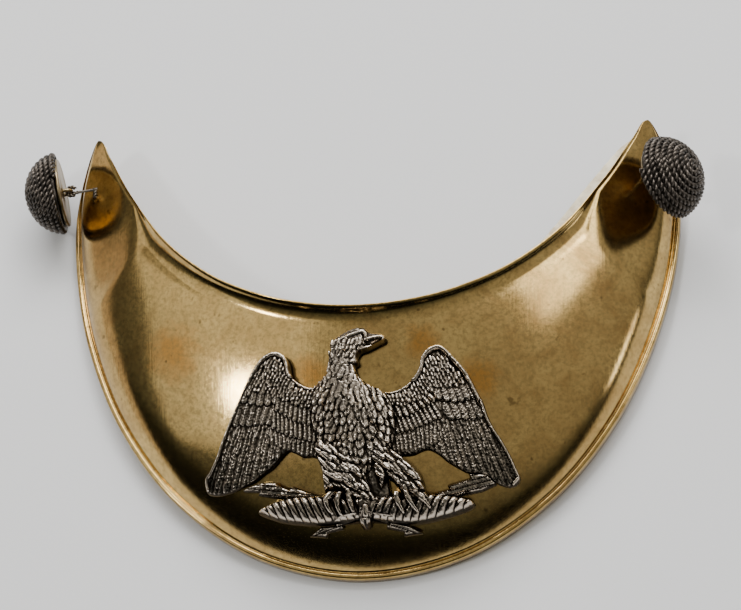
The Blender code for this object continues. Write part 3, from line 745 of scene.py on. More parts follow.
def set_socket(tree, socket, value):
    """Link a socket's value from another node, or set it to a constant."""
    if isinstance(value, bpy.types.NodeSocket):
        tree.links.new(value, socket)
    else:
        socket.default_value = value


def math_node(tree, operation, a, b=0.0, c=0.0):
    made = tree.nodes.new("ShaderNodeMath")
    made.operation = operation
    for socket, value in zip(made.inputs, (a, b, c)):
        set_socket(tree, socket, value)
    return made.outputs[0]


def weighted(tree, split, weights, total=0.0):
    """Weighted sum of a direction's parts, over a first total."""
    for part, weight in weights:
        total = math_node(tree, "MULTIPLY_ADD", split.outputs[part], weight, total)
    return total


def mapped(tree, vector, scale, rotation):
    made = tree.nodes.new("ShaderNodeMapping")
    made.inputs["Scale"].default_value = scale
    made.inputs["Rotation"].default_value = rotation
    tree.links.new(vector, made.inputs["Vector"])
    return made.outputs["Vector"]


def bump(tree, shader, height, strength, distance):
    """Fine unevenness of a surface from a height value."""
    made = tree.nodes.new("ShaderNodeBump")
    made.inputs["Strength"].default_value = strength
    made.inputs["Distance"].default_value = distance
    tree.links.new(height, made.inputs["Height"])
    tree.links.new(made.outputs["Normal"], shader.inputs["Normal"])


def smear(tree, coords, color, spots, tone):
    """Lay uneven stains of one colour round points given in drawing millimetres with their radius."""
    for x, y, z, radius in spots:
        gap = tree.nodes.new("ShaderNodeVectorMath")
        gap.operation = "DISTANCE"
        gap.inputs[1].default_value = in_frame(x, y, z)
        tree.links.new(coords, gap.inputs[0])
        ragged = noise_node(tree, coords, 260.0, 5.0, 0.7)
        reach = math_node(tree, "DIVIDE", gap.outputs["Value"], radius * MM)
        reach = math_node(tree, "MULTIPLY_ADD", ragged, 1.1, math_node(tree, "SUBTRACT", reach, 0.55))
        share = ramp(tree, reach, ((0.35, grey(0.75)), (1.0, grey(0.0))))
        color = mix_color(tree, share, color, tone)
    return color


def brass_material(name, clean, tarnish, roughness, stains=()):
    """Old polished brass: patches of tarnish, rubbing marks, fine scratches, spots and stains."""
    material, tree, shader, coords = start_material(name, 1.0)
    cloud = noise_node(tree, coords, 34.0, 5.0, 0.6, 0.5)
    patch = noise_node(tree, coords, 120.0, 6.0, 0.7, 0.9)
    mottle = noise_node(tree, coords, 1100.0, 4.0, 0.7)
    speck = noise_node(tree, coords, 3000.0, 2.0, 0.6)
    both = math_node(tree, "MULTIPLY_ADD", patch, 0.6, math_node(tree, "MULTIPLY", cloud, 0.5))
    share = ramp(tree, both, ((0.44, grey(0.0)), (0.72, grey(1.0))))
    color = mix_color(tree, share, clean, tarnish)
    color = smear(tree, coords, color, stains, STAIN)
    grime = ramp(tree, mottle, ((0.36, grey(0.55)), (0.56, grey(0.0))))
    color = mix_color(tree, grime, color, tuple(0.40 * v for v in clean))
    spot = noise_node(tree, coords, 420.0, 2.0, 0.5)
    spots = ramp(tree, spot, ((0.70, grey(0.0)), (0.76, grey(0.7))))
    color = mix_color(tree, spots, color, tuple(0.40 * v for v in tarnish))
    tree.links.new(color, shader.inputs["Base Color"])
    marks = []
    for turn, along_mark, across in ((0.6, 70.0, 2600.0), (-0.35, 110.0, 3400.0), (1.5, 60.0, 2200.0)):
        spot = mapped(tree, coords, (across, along_mark, 300.0), (0.0, 0.0, turn))
        marks.append(noise_node(tree, spot, 1.0, 3.0, 0.65))
    rubbed = math_node(tree, "ADD", marks[0], math_node(tree, "ADD", marks[1], marks[2]))
    rough = math_node(tree, "MULTIPLY_ADD", both, 0.16, roughness - 0.09)
    rough = math_node(tree, "MULTIPLY_ADD", mottle, 0.10, rough)
    rough = math_node(tree, "MULTIPLY_ADD", rubbed, 0.03, rough)
    tree.links.new(rough, shader.inputs["Roughness"])
    height = math_node(tree, "MULTIPLY_ADD", rubbed, 0.45, math_node(tree, "MULTIPLY", mottle, 0.35))
    height = math_node(tree, "MULTIPLY_ADD", speck, 0.25, height)
    bump(tree, shader, height, 0.16, 0.00008)
    return material


def silver_material(name, bright, dark, roughness, low, high):
    """Cast silver, black in the hollows and worn bright on the ridges by the cavity attribute."""
    material, tree, shader, coords = start_material(name, 1.0)
    cavity = tree.nodes.new("ShaderNodeAttribute")
    cavity.attribute_name = "cavity"
    grain = noise_node(tree, coords, 2600.0, 3.0, 0.6)
    patch = noise_node(tree, coords, 260.0, 3.0, 0.6)
    value = math_node(tree, "MULTIPLY_ADD", grain, 0.16, cavity.outputs["Fac"])
    value = math_node(tree, "MULTIPLY_ADD", patch, 0.22, math_node(tree, "SUBTRACT", value, 0.19))
    middle = low + 0.42 * (high - low)
    share = ramp(tree, value, ((low, grey(0.0)), (middle, grey(0.38)), (high, grey(1.0))))
    warm = tuple(v * f for v, f in zip(bright, (0.78, 0.68, 0.58)))
    tone = mix_color(tree, patch, bright, warm)
    color = mix_color(tree, share, dark, tone)
    tree.links.new(color, shader.inputs["Base Color"])
    rough = math_node(tree, "MULTIPLY_ADD", share, -0.14, roughness + 0.14)
    tree.links.new(rough, shader.inputs["Roughness"])
    bump(tree, shader, grain, 0.25, 0.00012)
    return material


def cord_material(name, color):
    """Metal thread cord gone nearly black, with patches of darker brown dust spread at random."""
    material, tree, shader, coords = start_material(name, 0.9)
    patch = noise_node(tree, coords, 500.0, 4.0, 0.6)
    thread = noise_node(tree, coords, 6000.0, 2.0, 0.5)
    worn = ramp(tree, patch, ((0.40, grey(0.0)), (0.66, grey(1.0))))
    tone = mix_color(tree, worn, tuple(0.35 * v for v in color), color)
    tree.links.new(tone, shader.inputs["Base Color"])
    rough = math_node(tree, "MULTIPLY_ADD", patch, 0.2, 0.24)
    tree.links.new(rough, shader.inputs["Roughness"])
    bump(tree, shader, thread, 0.35, 0.0001)
    return material


def leather_material(name):
    """Cream leather edge with darker wear."""
    material, tree, shader, coords = start_material(name)
    patch = noise_node(tree, coords, 240.0, 4.0, 0.6)
    pores = noise_node(tree, coords, 3500.0, 3.0, 0.6)
    color = ramp(tree, patch, ((0.35, (0.50, 0.40, 0.26)), (0.62, (0.80, 0.73, 0.56))))
    tree.links.new(color, shader.inputs["Base Color"])
    shader.inputs["Roughness"].default_value = 0.72
    bump(tree, shader, pores, 0.5, 0.00015)
    return material


def paper_material(name, color):
    """Pale matt paper with a faint grain."""
    material, tree, shader, coords = start_material(name)
    grain = noise_node(tree, coords, 900.0, 4.0, 0.6)
    cloud = noise_node(tree, coords, 6.0, 3.0, 0.5)
    tone = ramp(tree, cloud, ((0.3, tuple(0.985 * v for v in color)), (0.7, color)))
    tree.links.new(tone, shader.inputs["Base Color"])
    shader.inputs["Roughness"].default_value = 0.85
    bump(tree, shader, grain, 0.12, 0.0002)
    return material


# Eagle relief

def smooth_outline(polygon, per_step):
    """Closed outline with rounded corners, as an array."""
    points = np.array(polygon, float)
    if per_step < 2:
        return points
    p0 = np.roll(points, 1, axis=0)
    p2 = np.roll(points, -1, axis=0)
    p3 = np.roll(points, -2, axis=0)
    rows = [curve(p0, points, p2, p3, k / per_step) for k in range(per_step)]
    return np.stack(rows, axis=1).reshape(-1, 2)


def points_inside(polygon, xy):
    """Which points lie in a closed outline."""
    result = np.zeros(len(xy), bool)
    x = xy[:, 0]
    y = xy[:, 1]
    for (ax, ay), (bx, by) in zip(polygon, np.roll(polygon, -1, axis=0)):
        if ay == by:
            continue
        crosses = (ay > y) != (by > y)
        result ^= crosses & (x < ax + (y - ay) * (bx - ax) / (by - ay))
    return result


def within_any(outlines, xy):
    """Which points lie in at least one outline."""
    result = np.zeros(len(xy), bool)
    for outline in outlines:
        result |= points_inside(outline, xy)
    return result


def chain_distance(chain, xy, closed=True):
    """Distance from points to a chain of straight pieces."""
    best = np.full(len(xy), 1000.0)
    ends = np.roll(chain, -1, axis=0) if closed else chain[1:]
    for a, b in zip(chain, ends):
        step = b - a
        size = float(step @ step)
        if size < 1e-12:
            continue
        t = np.clip(((xy - a) @ step) / size, 0.0, 1.0)
        gap = xy - a - t[:, None] * step
        best = np.minimum(best, np.hypot(gap[:, 0], gap[:, 1]))
    return best


def add_feather(height, xy, root, tip, half, low, high, crown, end_length=1.1, barbs=0.07, point=0.5):
    """Raise the height field by one feather: rounded or pointed tip, crown, quill and slanted barbs."""
    root = np.array(root, float)
    tip = np.array(tip, float)
    step = tip - root
    length = math.hypot(*step)
    axis = step / length
    side = np.array((-axis[1], axis[0]))
    near = (np.abs(xy[:, 0] - (root[0] + tip[0]) / 2.0) < length / 2.0 + 2.0 * half) \
        & (np.abs(xy[:, 1] - (root[1] + tip[1]) / 2.0) < length / 2.0 + 2.0 * half)
    index = np.nonzero(near)[0]
    local = xy[index] - root
    u = local @ axis / length
    v = local @ side
    width = half * (0.75 + 0.25 * np.clip(u * 2.0, 0.0, 1.0))
    end = min(0.95, end_length * half / length)
    over = np.clip((u - (1.0 - end)) / end, 0.0, 1.0)
    width = width * np.clip(1.0 - over * over, 0.0, 1.0) ** point
    ok = (u > -0.05) & (u < 1.0) & (np.abs(v) < width)
    share = np.abs(v) / np.maximum(width, 1e-6)
    z = low + (high - low) * u + crown * (np.sqrt(np.clip(1.0 - share ** 2.2, 0.0, 1.0)) - 0.45)
    z = z + 0.12 * np.exp(-(v / 0.10) ** 2) * (u < 0.93)
    if barbs > 0.0:
        wave = np.sin(2.0 * math.pi * (u * length + np.abs(v) * 0.9) / 0.62)
        z = z + barbs * wave * np.clip(1.0 - share, 0.0, 0.6)
    height[index] = np.where(ok, np.maximum(height[index], z), height[index])


def along(line, share):
    """Point at a share of the way along a short line of corners."""
    corners = np.array(line, float)
    steps = np.hypot(*np.diff(corners, axis=0).T)
    reach = np.concatenate([[0.0], np.cumsum(steps)])
    spot = share * reach[-1]
    return np.array((np.interp(spot, reach, corners[:, 0]), np.interp(spot, reach, corners[:, 1])))


def add_stroke(height, xy, points, radii, tops):
    """Raise the height field by a round bar along a path: claws, beak ridges, brow."""
    path = smooth_path([Vector(p) for p in points], 6)
    count = len(path)
    for i, point in enumerate(path):
        share = i / (count - 1)
        radius = np.interp(share, np.linspace(0.0, 1.0, len(radii)), radii)
        top = np.interp(share, np.linspace(0.0, 1.0, len(tops)), tops)
        gap = np.hypot(xy[:, 0] - point.x, xy[:, 1] - point.y)
        z = top - radius + np.sqrt(np.clip(radius * radius - gap * gap, 0.0, None))
        height[:] = np.where(gap < radius, np.maximum(height, z), height)


def swell(distance, edge, rise, reach):
    """Height that rises from an edge like a quarter circle over its reach."""
    share = np.clip(distance / reach, 0.0, 1.0)
    return edge + rise * np.sqrt(share * (2.0 - share))


def scale_feathers(height, xy, polygon, base, size, lean, lift, wander, length=1.15, point=0.6):
    """Cover a region with overlapping small feathers that point along a direction, none quite alike."""
    low = polygon.min(axis=0) - 2.0
    high = polygon.max(axis=0) + 2.0
    rng = np.random.default_rng(7)
    spacing_y = size * 0.95 * length / 1.15
    across = size * 1.02
    for j in range(int((high[1] - low[1]) / spacing_y) + 1):
        for i in range(int((high[0] - low[0]) / across) + 1):
            wobble = rng.uniform(-wander, wander, 5)
            x = low[0] + (i + 0.5 * (j % 2) + wobble[0]) * across
            y = high[1] - (j + wobble[1]) * spacing_y
            if not points_inside(polygon, np.array([[x, y]]))[0]:
                continue
            angle = lean(x, y) + 0.9 * wobble[2]
            step = np.array((math.sin(angle), -math.cos(angle))) * size
            grown = 1.0 + 0.8 * wobble[3]
            root = np.array((x, y)) - step * 0.5
            tip = np.array((x, y)) + step * length * grown
            level = base(np.array([(root + tip) / 2.0]))[0]
            add_feather(height, xy, root, tip, size * 0.55 * grown, level - 0.05,
                        level + lift * (1.0 + 2.0 * wobble[4]), 0.30, 1.5, 0.0, point)


def wing_relief(xy, outline, base, within):
    """Rows of feathers, small scales under the arch and the rolls along the wing's edges."""
    on_left = outline[:, 0].mean() < 0.0
    part = np.where(within, np.minimum(base, 1.0), 0.0)
    side = -1.0 if on_left else 1.0
    scale_feathers(part, xy, outline, lambda spots: np.full(len(spots), 0.95), 1.0,
                   lambda x, y: 0.30 * side, lift=0.15, wander=0.2, length=1.8)
    rng = np.random.default_rng(3)
    for half, low, high, crown, count, roots, tips in (WING_ROWS_LEFT if on_left else WING_ROWS_RIGHT):
        for k in range(count):
            wobble = rng.uniform(-1.0, 1.0, 3)
            share = k / (count - 1)
            root = along(roots, share)
            tip = along(tips, min(max(share + 0.12 * wobble[0] / count, 0.0), 1.0))
            tip = tip + (tip - root) * 0.03 * wobble[1]
            add_feather(part, xy, root, tip, half, low, high + 0.08 * wobble[2], crown)
    patch = np.array(SCALES_LEFT if on_left else SCALES_RIGHT)
    scale_feathers(part, xy, patch, lambda spots: np.full(len(spots), 1.62), 0.80,
                   lambda x, y: 0.35 * side, lift=0.30, wander=0.22)
    for polygon, first, last, inset, half, top in WING_ROLLS:
        if (polygon is WING_LEFT) != on_left:
            continue
        chain = smooth_outline(polygon, 4)[first * 4:last * 4 + 1]
        gap = np.abs(chain_distance(chain, xy, False) - inset)
        roll = 1.0 + (top - 1.0) * np.sqrt(np.clip(1.0 - (gap / half) ** 2, 0.0, 1.0))
        part = np.where(gap < half, roll, part)
    return part


def rope_relief(xy, base, distance):
    """Twisted ribs of the spindle, leaning outwards on both sides of its middle."""
    side = np.where(xy[:, 0] < SPINDLE_X, 1.0, -1.0)
    phase = ((xy[:, 0] - SPINDLE_X) * side + (xy[:, 1] - SPINDLE_Y) * SPINDLE_SLANT) / SPINDLE_PITCH
    share = 2.0 * (phase - np.floor(phase)) - 1.0
    rib = np.sqrt(np.clip(1.0 - share * share, 0.0, 1.0))
    return base - 0.75 + 1.0 * rib * np.clip(distance / 0.5, 0.25, 1.0)


def bolt_relief(xy, outline, edge, rise, distance):
    """Long grooves on a thunderbolt, along its main direction."""
    middle = outline.mean(axis=0)
    _u, _s, directions = np.linalg.svd(outline - middle)
    spot = (xy - middle) @ directions[1]
    share = spot / BOLT_GROOVE - np.floor(spot / BOLT_GROOVE)
    return edge + rise * np.clip(distance / 0.35, 0.0, 1.0) - 0.35 * (share < 0.28)


def eagle_relief(xy):
    """Height of the casting over its back at plan points."""
    top = np.zeros(len(xy))
    for kind, polygon, edge, rise, reach, per_step in EAGLE_PARTS:
        outline = smooth_outline(polygon, per_step)
        distance = chain_distance(outline, xy)
        within = points_inside(outline, xy) | (distance < 0.02)
        base = swell(distance, edge, rise, reach)

        def level(spots, outline=outline, edge=edge, rise=rise, reach=reach):
            return swell(chain_distance(outline, spots), edge, rise, reach)

        if kind == "wing":
            part = wing_relief(xy, outline, base, within)
        elif kind == "body":
            part = base - 0.35
            scale_feathers(part, xy, outline, level, 1.15, lambda x, y: 0.08 * (x - 1.0),
                           lift=0.42, wander=0.26, length=1.5, point=0.9)
        elif kind == "thigh":
            part = base - 0.45
            scale_feathers(part, xy, outline, level, 0.85, lambda x, y: 0.85,
                           lift=0.40, wander=0.26, length=2.6, point=0.9)
        elif kind == "spindle":
            part = rope_relief(xy, base, distance)
        elif kind == "bolt":
            part = bolt_relief(xy, outline, edge, rise, distance)
        elif kind == "head":
            part = base - 0.25
            neck = outline[outline[:, 1] < -45.0]
            scale_feathers(part, xy, neck, level, 0.75, lambda x, y: -0.30,
                           lift=0.36, wander=0.26, length=1.5, point=0.9)
            beak = (xy[:, 0] > 2.4 + 0.4 * (-45.5 - xy[:, 1])) & (xy[:, 1] > -48.0)
            part = np.where(beak, base - 1.1, part)
        else:
            part = base.copy()
        round_over = np.clip(distance / 0.42, 0.0, 1.0)
        part = part * (0.55 + 0.45 * np.sqrt(round_over * (2.0 - round_over)))
        top = np.where(within, np.maximum(top, part), top)
    for path, radii, tops in STROKES:
        add_stroke(top, xy, path, radii, tops)
    return np.maximum(top, 0.35)


def cavity_values(points, triangles, rounds, reach):
    """How far each point stands over its surroundings, from 0 in a hollow to 1 on a ridge."""
    z = points[:, 2].copy()
    pairs = np.concatenate([triangles[:, (0, 1)], triangles[:, (1, 2)], triangles[:, (2, 0)]])
    count = np.zeros(len(z))
    np.add.at(count, pairs[:, 0], 1.0)
    np.add.at(count, pairs[:, 1], 1.0)
    even = z.copy()
    for _round in range(rounds):
        total = np.zeros(len(z))
        np.add.at(total, pairs[:, 0], even[pairs[:, 1]])
        np.add.at(total, pairs[:, 1], even[pairs[:, 0]])
        even = 0.5 * even + 0.5 * total / np.maximum(count, 1.0)
    return np.clip(0.5 + (z - even) / reach, 0.0, 1.0)


def casting_floor(x, y):
    """Height of the casting's back, which follows the dome, at a plan position."""
    hit, normal = surface_at(plate_surface(), x, y)
    return hit.z + EAGLE_GAP / max(normal.z, EAGLE_STEEPEST)


def casting_front(outlines, grid):
    """Plan points and triangles of an even net that fills the outlines, and the net's own points."""
    points = []
    edges = []
    for outline in outlines:
        first = len(points)
        points += [Vector(p) for p in outline]
        edges += [(first + i, first + (i + 1) % len(outline)) for i in range(len(outline))]
    rim = np.array([p[:] for p in points])
    low = rim.min(axis=0)
    high = rim.max(axis=0)
    rows = []
    for j, y in enumerate(np.arange(low[1], high[1], grid * math.sqrt(0.75))):
        xs = np.arange(low[0] + (0.5 * grid if j % 2 else 0.0), high[0], grid)
        rows.append(np.stack([xs, np.full(len(xs), y)], axis=1))
    net = np.concatenate(rows)
    near = np.full(len(net), 1000.0)
    for outline in outlines:
        near = np.minimum(near, chain_distance(outline, net))
    net = net[within_any(outlines, net) & (near > EAGLE_CLEAR * grid)]
    points += [Vector(p) for p in net]
    flat, _edges, faces, _ov, _oe, _of = delaunay_2d_cdt(points, edges, [], 0, 0.001)
    flat = np.array([p[:] for p in flat])
    faces = np.array([f for f in faces if len(f) == 3])
    faces = faces[within_any(outlines, flat[faces].mean(axis=1))]
    used = np.unique(faces)
    renumber = np.full(len(flat), -1)
    renumber[used] = np.arange(len(used))
    return flat[used], renumber[faces], net


def loose_edges(faces):
    """Edges that only one triangle has, in that triangle's direction."""
    directed = {}
    for a, b, c in faces:
        for pair in ((a, b), (b, c), (c, a)):
            directed[pair] = True
    return [(a, b) for a, b in directed if (b, a) not in directed]


def casting_back(outlines, flat, loose, net):
    """Plan points and faces of the coarser back, and which of its points lies under each loose corner."""
    ring = sorted({i for pair in loose for i in pair})
    place_of = {v: k for k, v in enumerate(ring)}
    coarse = net[::BACK_EVERY]
    near = np.full(len(coarse), 1000.0)
    for a, _b in loose:
        gap = coarse - flat[a]
        near = np.minimum(near, np.hypot(gap[:, 0], gap[:, 1]))
    points = [Vector(flat[i]) for i in ring] + [Vector(p) for p in coarse[near > BACK_CLEAR]]
    edges = [(place_of[a], place_of[b]) for a, b in loose]
    low_flat, _e, faces, sources, _oe, _of = delaunay_2d_cdt(points, edges, [], 0, 0.0001)
    low_flat = np.array([p[:] for p in low_flat])
    middle = np.array([low_flat[list(f)].mean(axis=0) for f in faces])
    kept = [f for f, ok in zip(faces, within_any(outlines, middle)) if ok]
    under = {ring[s]: k for k, group in enumerate(sources) for s in group if s < len(ring)}
    return low_flat, kept, under


def eagle_mesh(grid, name):
    """One fine casting: smoothed outlines filled with an even net, raised by the relief."""
    outlines = [smooth_outline(row[1], row[5]) for row in EAGLE_PARTS]
    flat, faces, net = casting_front(outlines, grid)
    height = eagle_relief(flat)
    for i, (x, y) in enumerate(flat):
        rough = noise.noise(Vector((x, y, 0.0)) / 0.55) + 0.6 * noise.noise(Vector((x, y, 5.0)) / 1.5)
        height[i] += GRAIN * rough * min(1.0, height[i] - 0.3)
    level = height + np.array([casting_floor(x, y) for x, y in flat])
    level = np.where(level > PRESS_FROM, PRESS_FROM + PRESS_KEEP * (level - PRESS_FROM), level)
    top = np.column_stack([flat, level])
    loose = loose_edges(faces)
    low_flat, low_faces, under = casting_back(outlines, flat, loose, net)
    first = len(top)
    vertices = [Vector(p) for p in top] + [Vector((x, y, casting_floor(x, y))) for x, y in low_flat]
    polygons = [tuple(int(i) for i in f) for f in faces]
    polygons += [tuple(first + i for i in reversed(f)) for f in low_faces]
    polygons += [(int(b), int(a), first + under[a], first + under[b]) for a, b in loose]
    mesh = bpy.data.meshes.new(name)
    mesh.from_pydata([in_frame(*v) for v in vertices], [], polygons)
    cavity = np.full(len(vertices), 0.45)
    fine = cavity_values(top, faces, rounds=4, reach=0.26)
    cavity[:first] = 0.5 * fine + 0.5 * cavity_values(top, faces, rounds=16, reach=0.75)
    mesh.attributes.new("cavity", "FLOAT", "POINT").data.foreach_set("value", cavity.astype(np.float32))
    mesh.validate()
    mesh.update()
    return mesh


# Buttons

def button_frame(row):
    """Placement of one button in drawing millimetres: local +Z is the way its dome points."""
    _side, x, y, z, ax, ay, az, turn = row
    axis = Vector((ax, ay, az)).normalized()
    spin = Matrix.Rotation(math.radians(turn), 4, "Z")
    return Matrix.Translation((x, y, z)) @ axis.to_track_quat("Z", "Y").to_matrix().to_4x4() @ spin


def turned(bm, profile, sides):
    """Solid of revolution from (radius, z) pairs, closed at both ends."""
    angles = [2.0 * math.pi * i / sides for i in range(sides)]
    loft(bm, [[Vector((r * math.cos(a), r * math.sin(a), z)) for a in angles] for r, z in profile])


def cord_dome(row, turns, lay):
    """Core and two twisted strands wound from the dome's rim to its peak."""
    bm = bmesh.new()
    pitch = 0.5 * math.pi * (CORD_RADIUS + CORD_DEPTH) / 2.0 / (turns + 0.5)
    thick = 0.5 * pitch * 1.06
    seat = BUTTON_BACK + CORE_SEAT
    wide = CORD_RADIUS - CORE_DEEP * thick
    peak = CORD_START + CORD_DEPTH - CORE_DEEP * thick
    angles = [0.5 * math.pi * i / CORE_RINGS for i in range(CORE_RINGS)]
    core = [(wide * math.cos(a), seat + (peak - seat) * math.sin(a)) for a in angles]
    turned(bm, core + [(0.02, peak)], CORE_SIDES)
    path = []
    out = []
    spread = CORD_RADIUS - 0.88 * thick
    tall = CORD_DEPTH - thick
    turn = 0.0
    end = 2.0 * math.pi * turns
    while turn < end:
        angle = 0.5 * math.pi * (0.06 + 0.94 * turn / end)
        r = spread * math.cos(angle)
        path.append(Vector((r * math.cos(turn), r * math.sin(turn), CORD_START + tall * math.sin(angle))))
        out.append(Vector((math.cos(turn) * math.cos(angle), math.sin(turn) * math.cos(angle),
                           math.sin(angle))).normalized())
        turn += CORD_STEP / max(r, 0.45)
    frames = []
    for i, point in enumerate(path):
        ahead = (path[min(i + 1, len(path) - 1)] - path[max(i - 1, 0)]).normalized()
        frames.append((point, out[i], ahead.cross(out[i]).normalized()))
    twisted_pair(bm, frames, lay / MM, CORD_SPREAD * thick, CORD_STRAND * thick, 7)
    bmesh.ops.transform(bm, matrix=button_frame(row), verts=bm.verts)
    return finish_mesh(bm, "cord_" + row[0], merge=0.0001)


def button_back(row):
    """Turned brass back with a pressed rim, a washer and the wire shank."""
    bm = bmesh.new()
    turned(bm, BACK_PROFILE, BACK_SIDES)
    bow = [Vector((SHANK_RADIUS, 0.0, 0.3))]
    for i in range(SHANK_STEPS + 1):
        angle = math.pi * i / SHANK_STEPS
        reach = SHANK_STAND + SHANK_RADIUS * math.sin(angle)
        bow.append(Vector((SHANK_RADIUS * math.cos(angle), 0.0, -reach)))
    tube(bm, bow + [Vector((-SHANK_RADIUS, 0.0, 0.3))], SHANK_WIRE, 14)
    bmesh.ops.transform(bm, matrix=button_frame(row), verts=bm.verts)
    return finish_mesh(bm, "back_" + row[0], merge=0.0001)


def tie_wire(row):
    """Two wires twisted together from behind the tip through its hole and round the shank."""
    place_of = button_frame(row)
    side = -1.0 if row[0] == "left" else 1.0
    hole, normal = surface_at(plate_surface(), side * HOLE_X, HOLE_Y)
    shank = place_of @ Vector((0.0, 0.0, -SHANK_STAND - SHANK_RADIUS))
    out = (place_of.to_3x3() @ Vector((0.0, 0.0, -1.0))).normalized()
    across = (place_of.to_3x3() @ Vector((0.0, 1.0, 0.0))).normalized()
    eye = []
    for i in range(TIE_EYE_STEPS + 1):
        angle = math.radians(TIE_EYE_FROM + TIE_EYE_SWEEP * i / TIE_EYE_STEPS)
        eye.append(shank + (out * -math.sin(angle) + across * math.cos(angle)) * TIE_EYE)
    back = hole - normal * TIE_BEHIND
    turn = Vector((0.0, -1.0, 0.0))
    turn = (turn - normal * turn.dot(normal)).normalized()
    path = [
        back - normal * 0.3 + turn * TIE_TURN,
        back - normal * 0.1 + turn * 0.4 * TIE_TURN,
        back + normal * 0.3,
        hole - normal * 0.5 * SHEET,
        hole + normal * TIE_CLEAR,
    ]
    path = smooth_path(path + list(reversed(eye)), 8)
    bm = bmesh.new()
    twisted_pair(bm, list(path_frames(path)), TIE_LAY, TIE_SPREAD, TIE_STRAND, 8)
    return finish_mesh(bm, "tie_" + row[0], merge=0.0001)


def lining_mesh():
    """Cream strip behind the neck edge: rounded section, slightly uneven edge."""
    bm = bmesh.new()
    loops = []
    half = LINING_THICK / 2.0
    for i in range(LINING_STEPS + 1):
        share = i / LINING_STEPS
        row = station(LINING_FROM + (LINING_TO - LINING_FROM) * share)
        taper = math.sin(math.pi * min(max(share, 0.03), 0.97)) ** 0.6
        top = row[2] - SHEET - LINING_DROP
        uneven = LINING_WAVER * noise.noise(Vector((share * LINING_WAVES, 0.0, 3.0)))
        show = -LINING_LEAST - (LINING_SHOW - LINING_LEAST) * taper + uneven
        middle = top - LINING_SAG * taper - half
        edge = [
            (show + half * 0.7 - half * math.cos(a), middle + half * math.sin(a))
            for a in (math.radians(turn) for turn in LINING_EDGE_ANGLES)
        ]
        outline = [(LINING_TUCK, top - LINING_THICK)] + edge + [(LINING_TUCK, top)]
        loops.append([place(row, d, z) for d, z in outline])
    loft(bm, loops)
    return finish_mesh(bm, "lining_edge_leather", merge=0.0001)


def fine_plate(ribs, steps, waver):
    """Plate with the beaten sheet's slight unevenness on its dome, without holes."""
    bm = bmesh.new()
    loops = []
    for i in range(-ribs, ribs + 1):
        row = station(tip_spacing(i / ribs))
        points, front = section(row, steps)
        loop = []
        for k, (d, z) in enumerate(points):
            spot = place(row, d, z)
            if len(NECK_ROLL) < k < front - len(RIM_EDGE):
                fade = min(1.0, (k - len(NECK_ROLL)) / 6.0, (front - len(RIM_EDGE) - k) / 6.0)
                spot.z += waver * fade * noise.noise(Vector((spot.x / 11.0, spot.y / 11.0, 0.0)))
            loop.append(spot)
        loops.append(loop)
    loft(bm, loops)
    return finish_mesh(bm, "plate_brass")


def drill_holes(obj, material):
    """Cut the wire holes in both tips and the stud holes under the eagle."""
    bm = bmesh.new()
    spots = [(side * HOLE_X, HOLE_Y, HOLE_RADIUS) for side in (-1.0, 1.0)]
    spots += [(x, y, STUD_HOLE_RADIUS) for x, y in STUD_AT]
    for x, y, radius in spots:
        centre, normal = surface_at(plate_surface(), x, y)
        tube(bm, [centre - normal * 4.0, centre + normal * 2.0], radius, 40)
    bmesh.ops.translate(bm, vec=(SHIFT_X, SHIFT_Y, 0.0), verts=bm.verts)
    bmesh.ops.scale(bm, vec=(MM, MM, MM), verts=bm.verts)
    bmesh.ops.recalc_face_normals(bm, faces=bm.faces)
    mesh = bpy.data.meshes.new("drills")
    bm.to_mesh(mesh)
    bm.free()
    drills = bpy.data.objects.new("drills", mesh)
    bpy.context.scene.collection.objects.link(drills)
    modifier = obj.modifiers.new("holes", "BOOLEAN")
    modifier.object = drills
    modifier.operation = "DIFFERENCE"
    modifier.solver = "EXACT"
    bpy.context.view_layer.update()
    drilled = bpy.data.meshes.new_from_object(obj.evaluated_get(bpy.context.evaluated_depsgraph_get()))
    obj.modifiers.clear()
    obj.data = drilled
    drilled.materials.clear()
    drilled.materials.append(material)
    bpy.data.objects.remove(drills)


class GORGET_OT_plate(bpy.types.Operator):
    """Build the finely rolled and beaten brass plate"""

    bl_idname = "gorget.plate"
    bl_label = "Build plate"

    def execute(self, context):
        sizes = context.scene.gorget_plate
        mesh = fine_plate(sizes.ribs, sizes.dome_steps, sizes.waver / MM)
        material = brass_material("old brass", sizes.brass, sizes.tarnish, roughness=0.05, stains=STAINS)
        obj = new_object("plate_brass", mesh, material, 50.0)
        drill_holes(obj, material)
        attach(obj, "root")
        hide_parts("plate")
        return {"FINISHED"}


class GORGET_OT_lining(bpy.types.Operator):
    """Build the leather edge that shows behind the neck"""

    bl_idname = "gorget.lining"
    bl_label = "Build lining edge"

    def execute(self, context):
        obj = new_object("lining_leather", lining_mesh(), leather_material("cream leather"))
        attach(obj, "root")
        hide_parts("lining_edge")
        return {"FINISHED"}


class GORGET_OT_eagle(bpy.types.Operator):
    """Build the cast eagle with its feathers"""

    bl_idname = "gorget.eagle"
    bl_label = "Build eagle"

    def execute(self, context):
        sizes = context.scene.gorget_eagle
        mesh = eagle_mesh(sizes.grid / MM, "eagle_cast")
        material = silver_material("cast silver", sizes.silver, sizes.hollow,
                                   roughness=0.17, low=0.42, high=0.86)
        obj = new_object("eagle_cast", mesh, material, 75.0)
        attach(obj, "root")
        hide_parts("eagle")
        return {"FINISHED"}


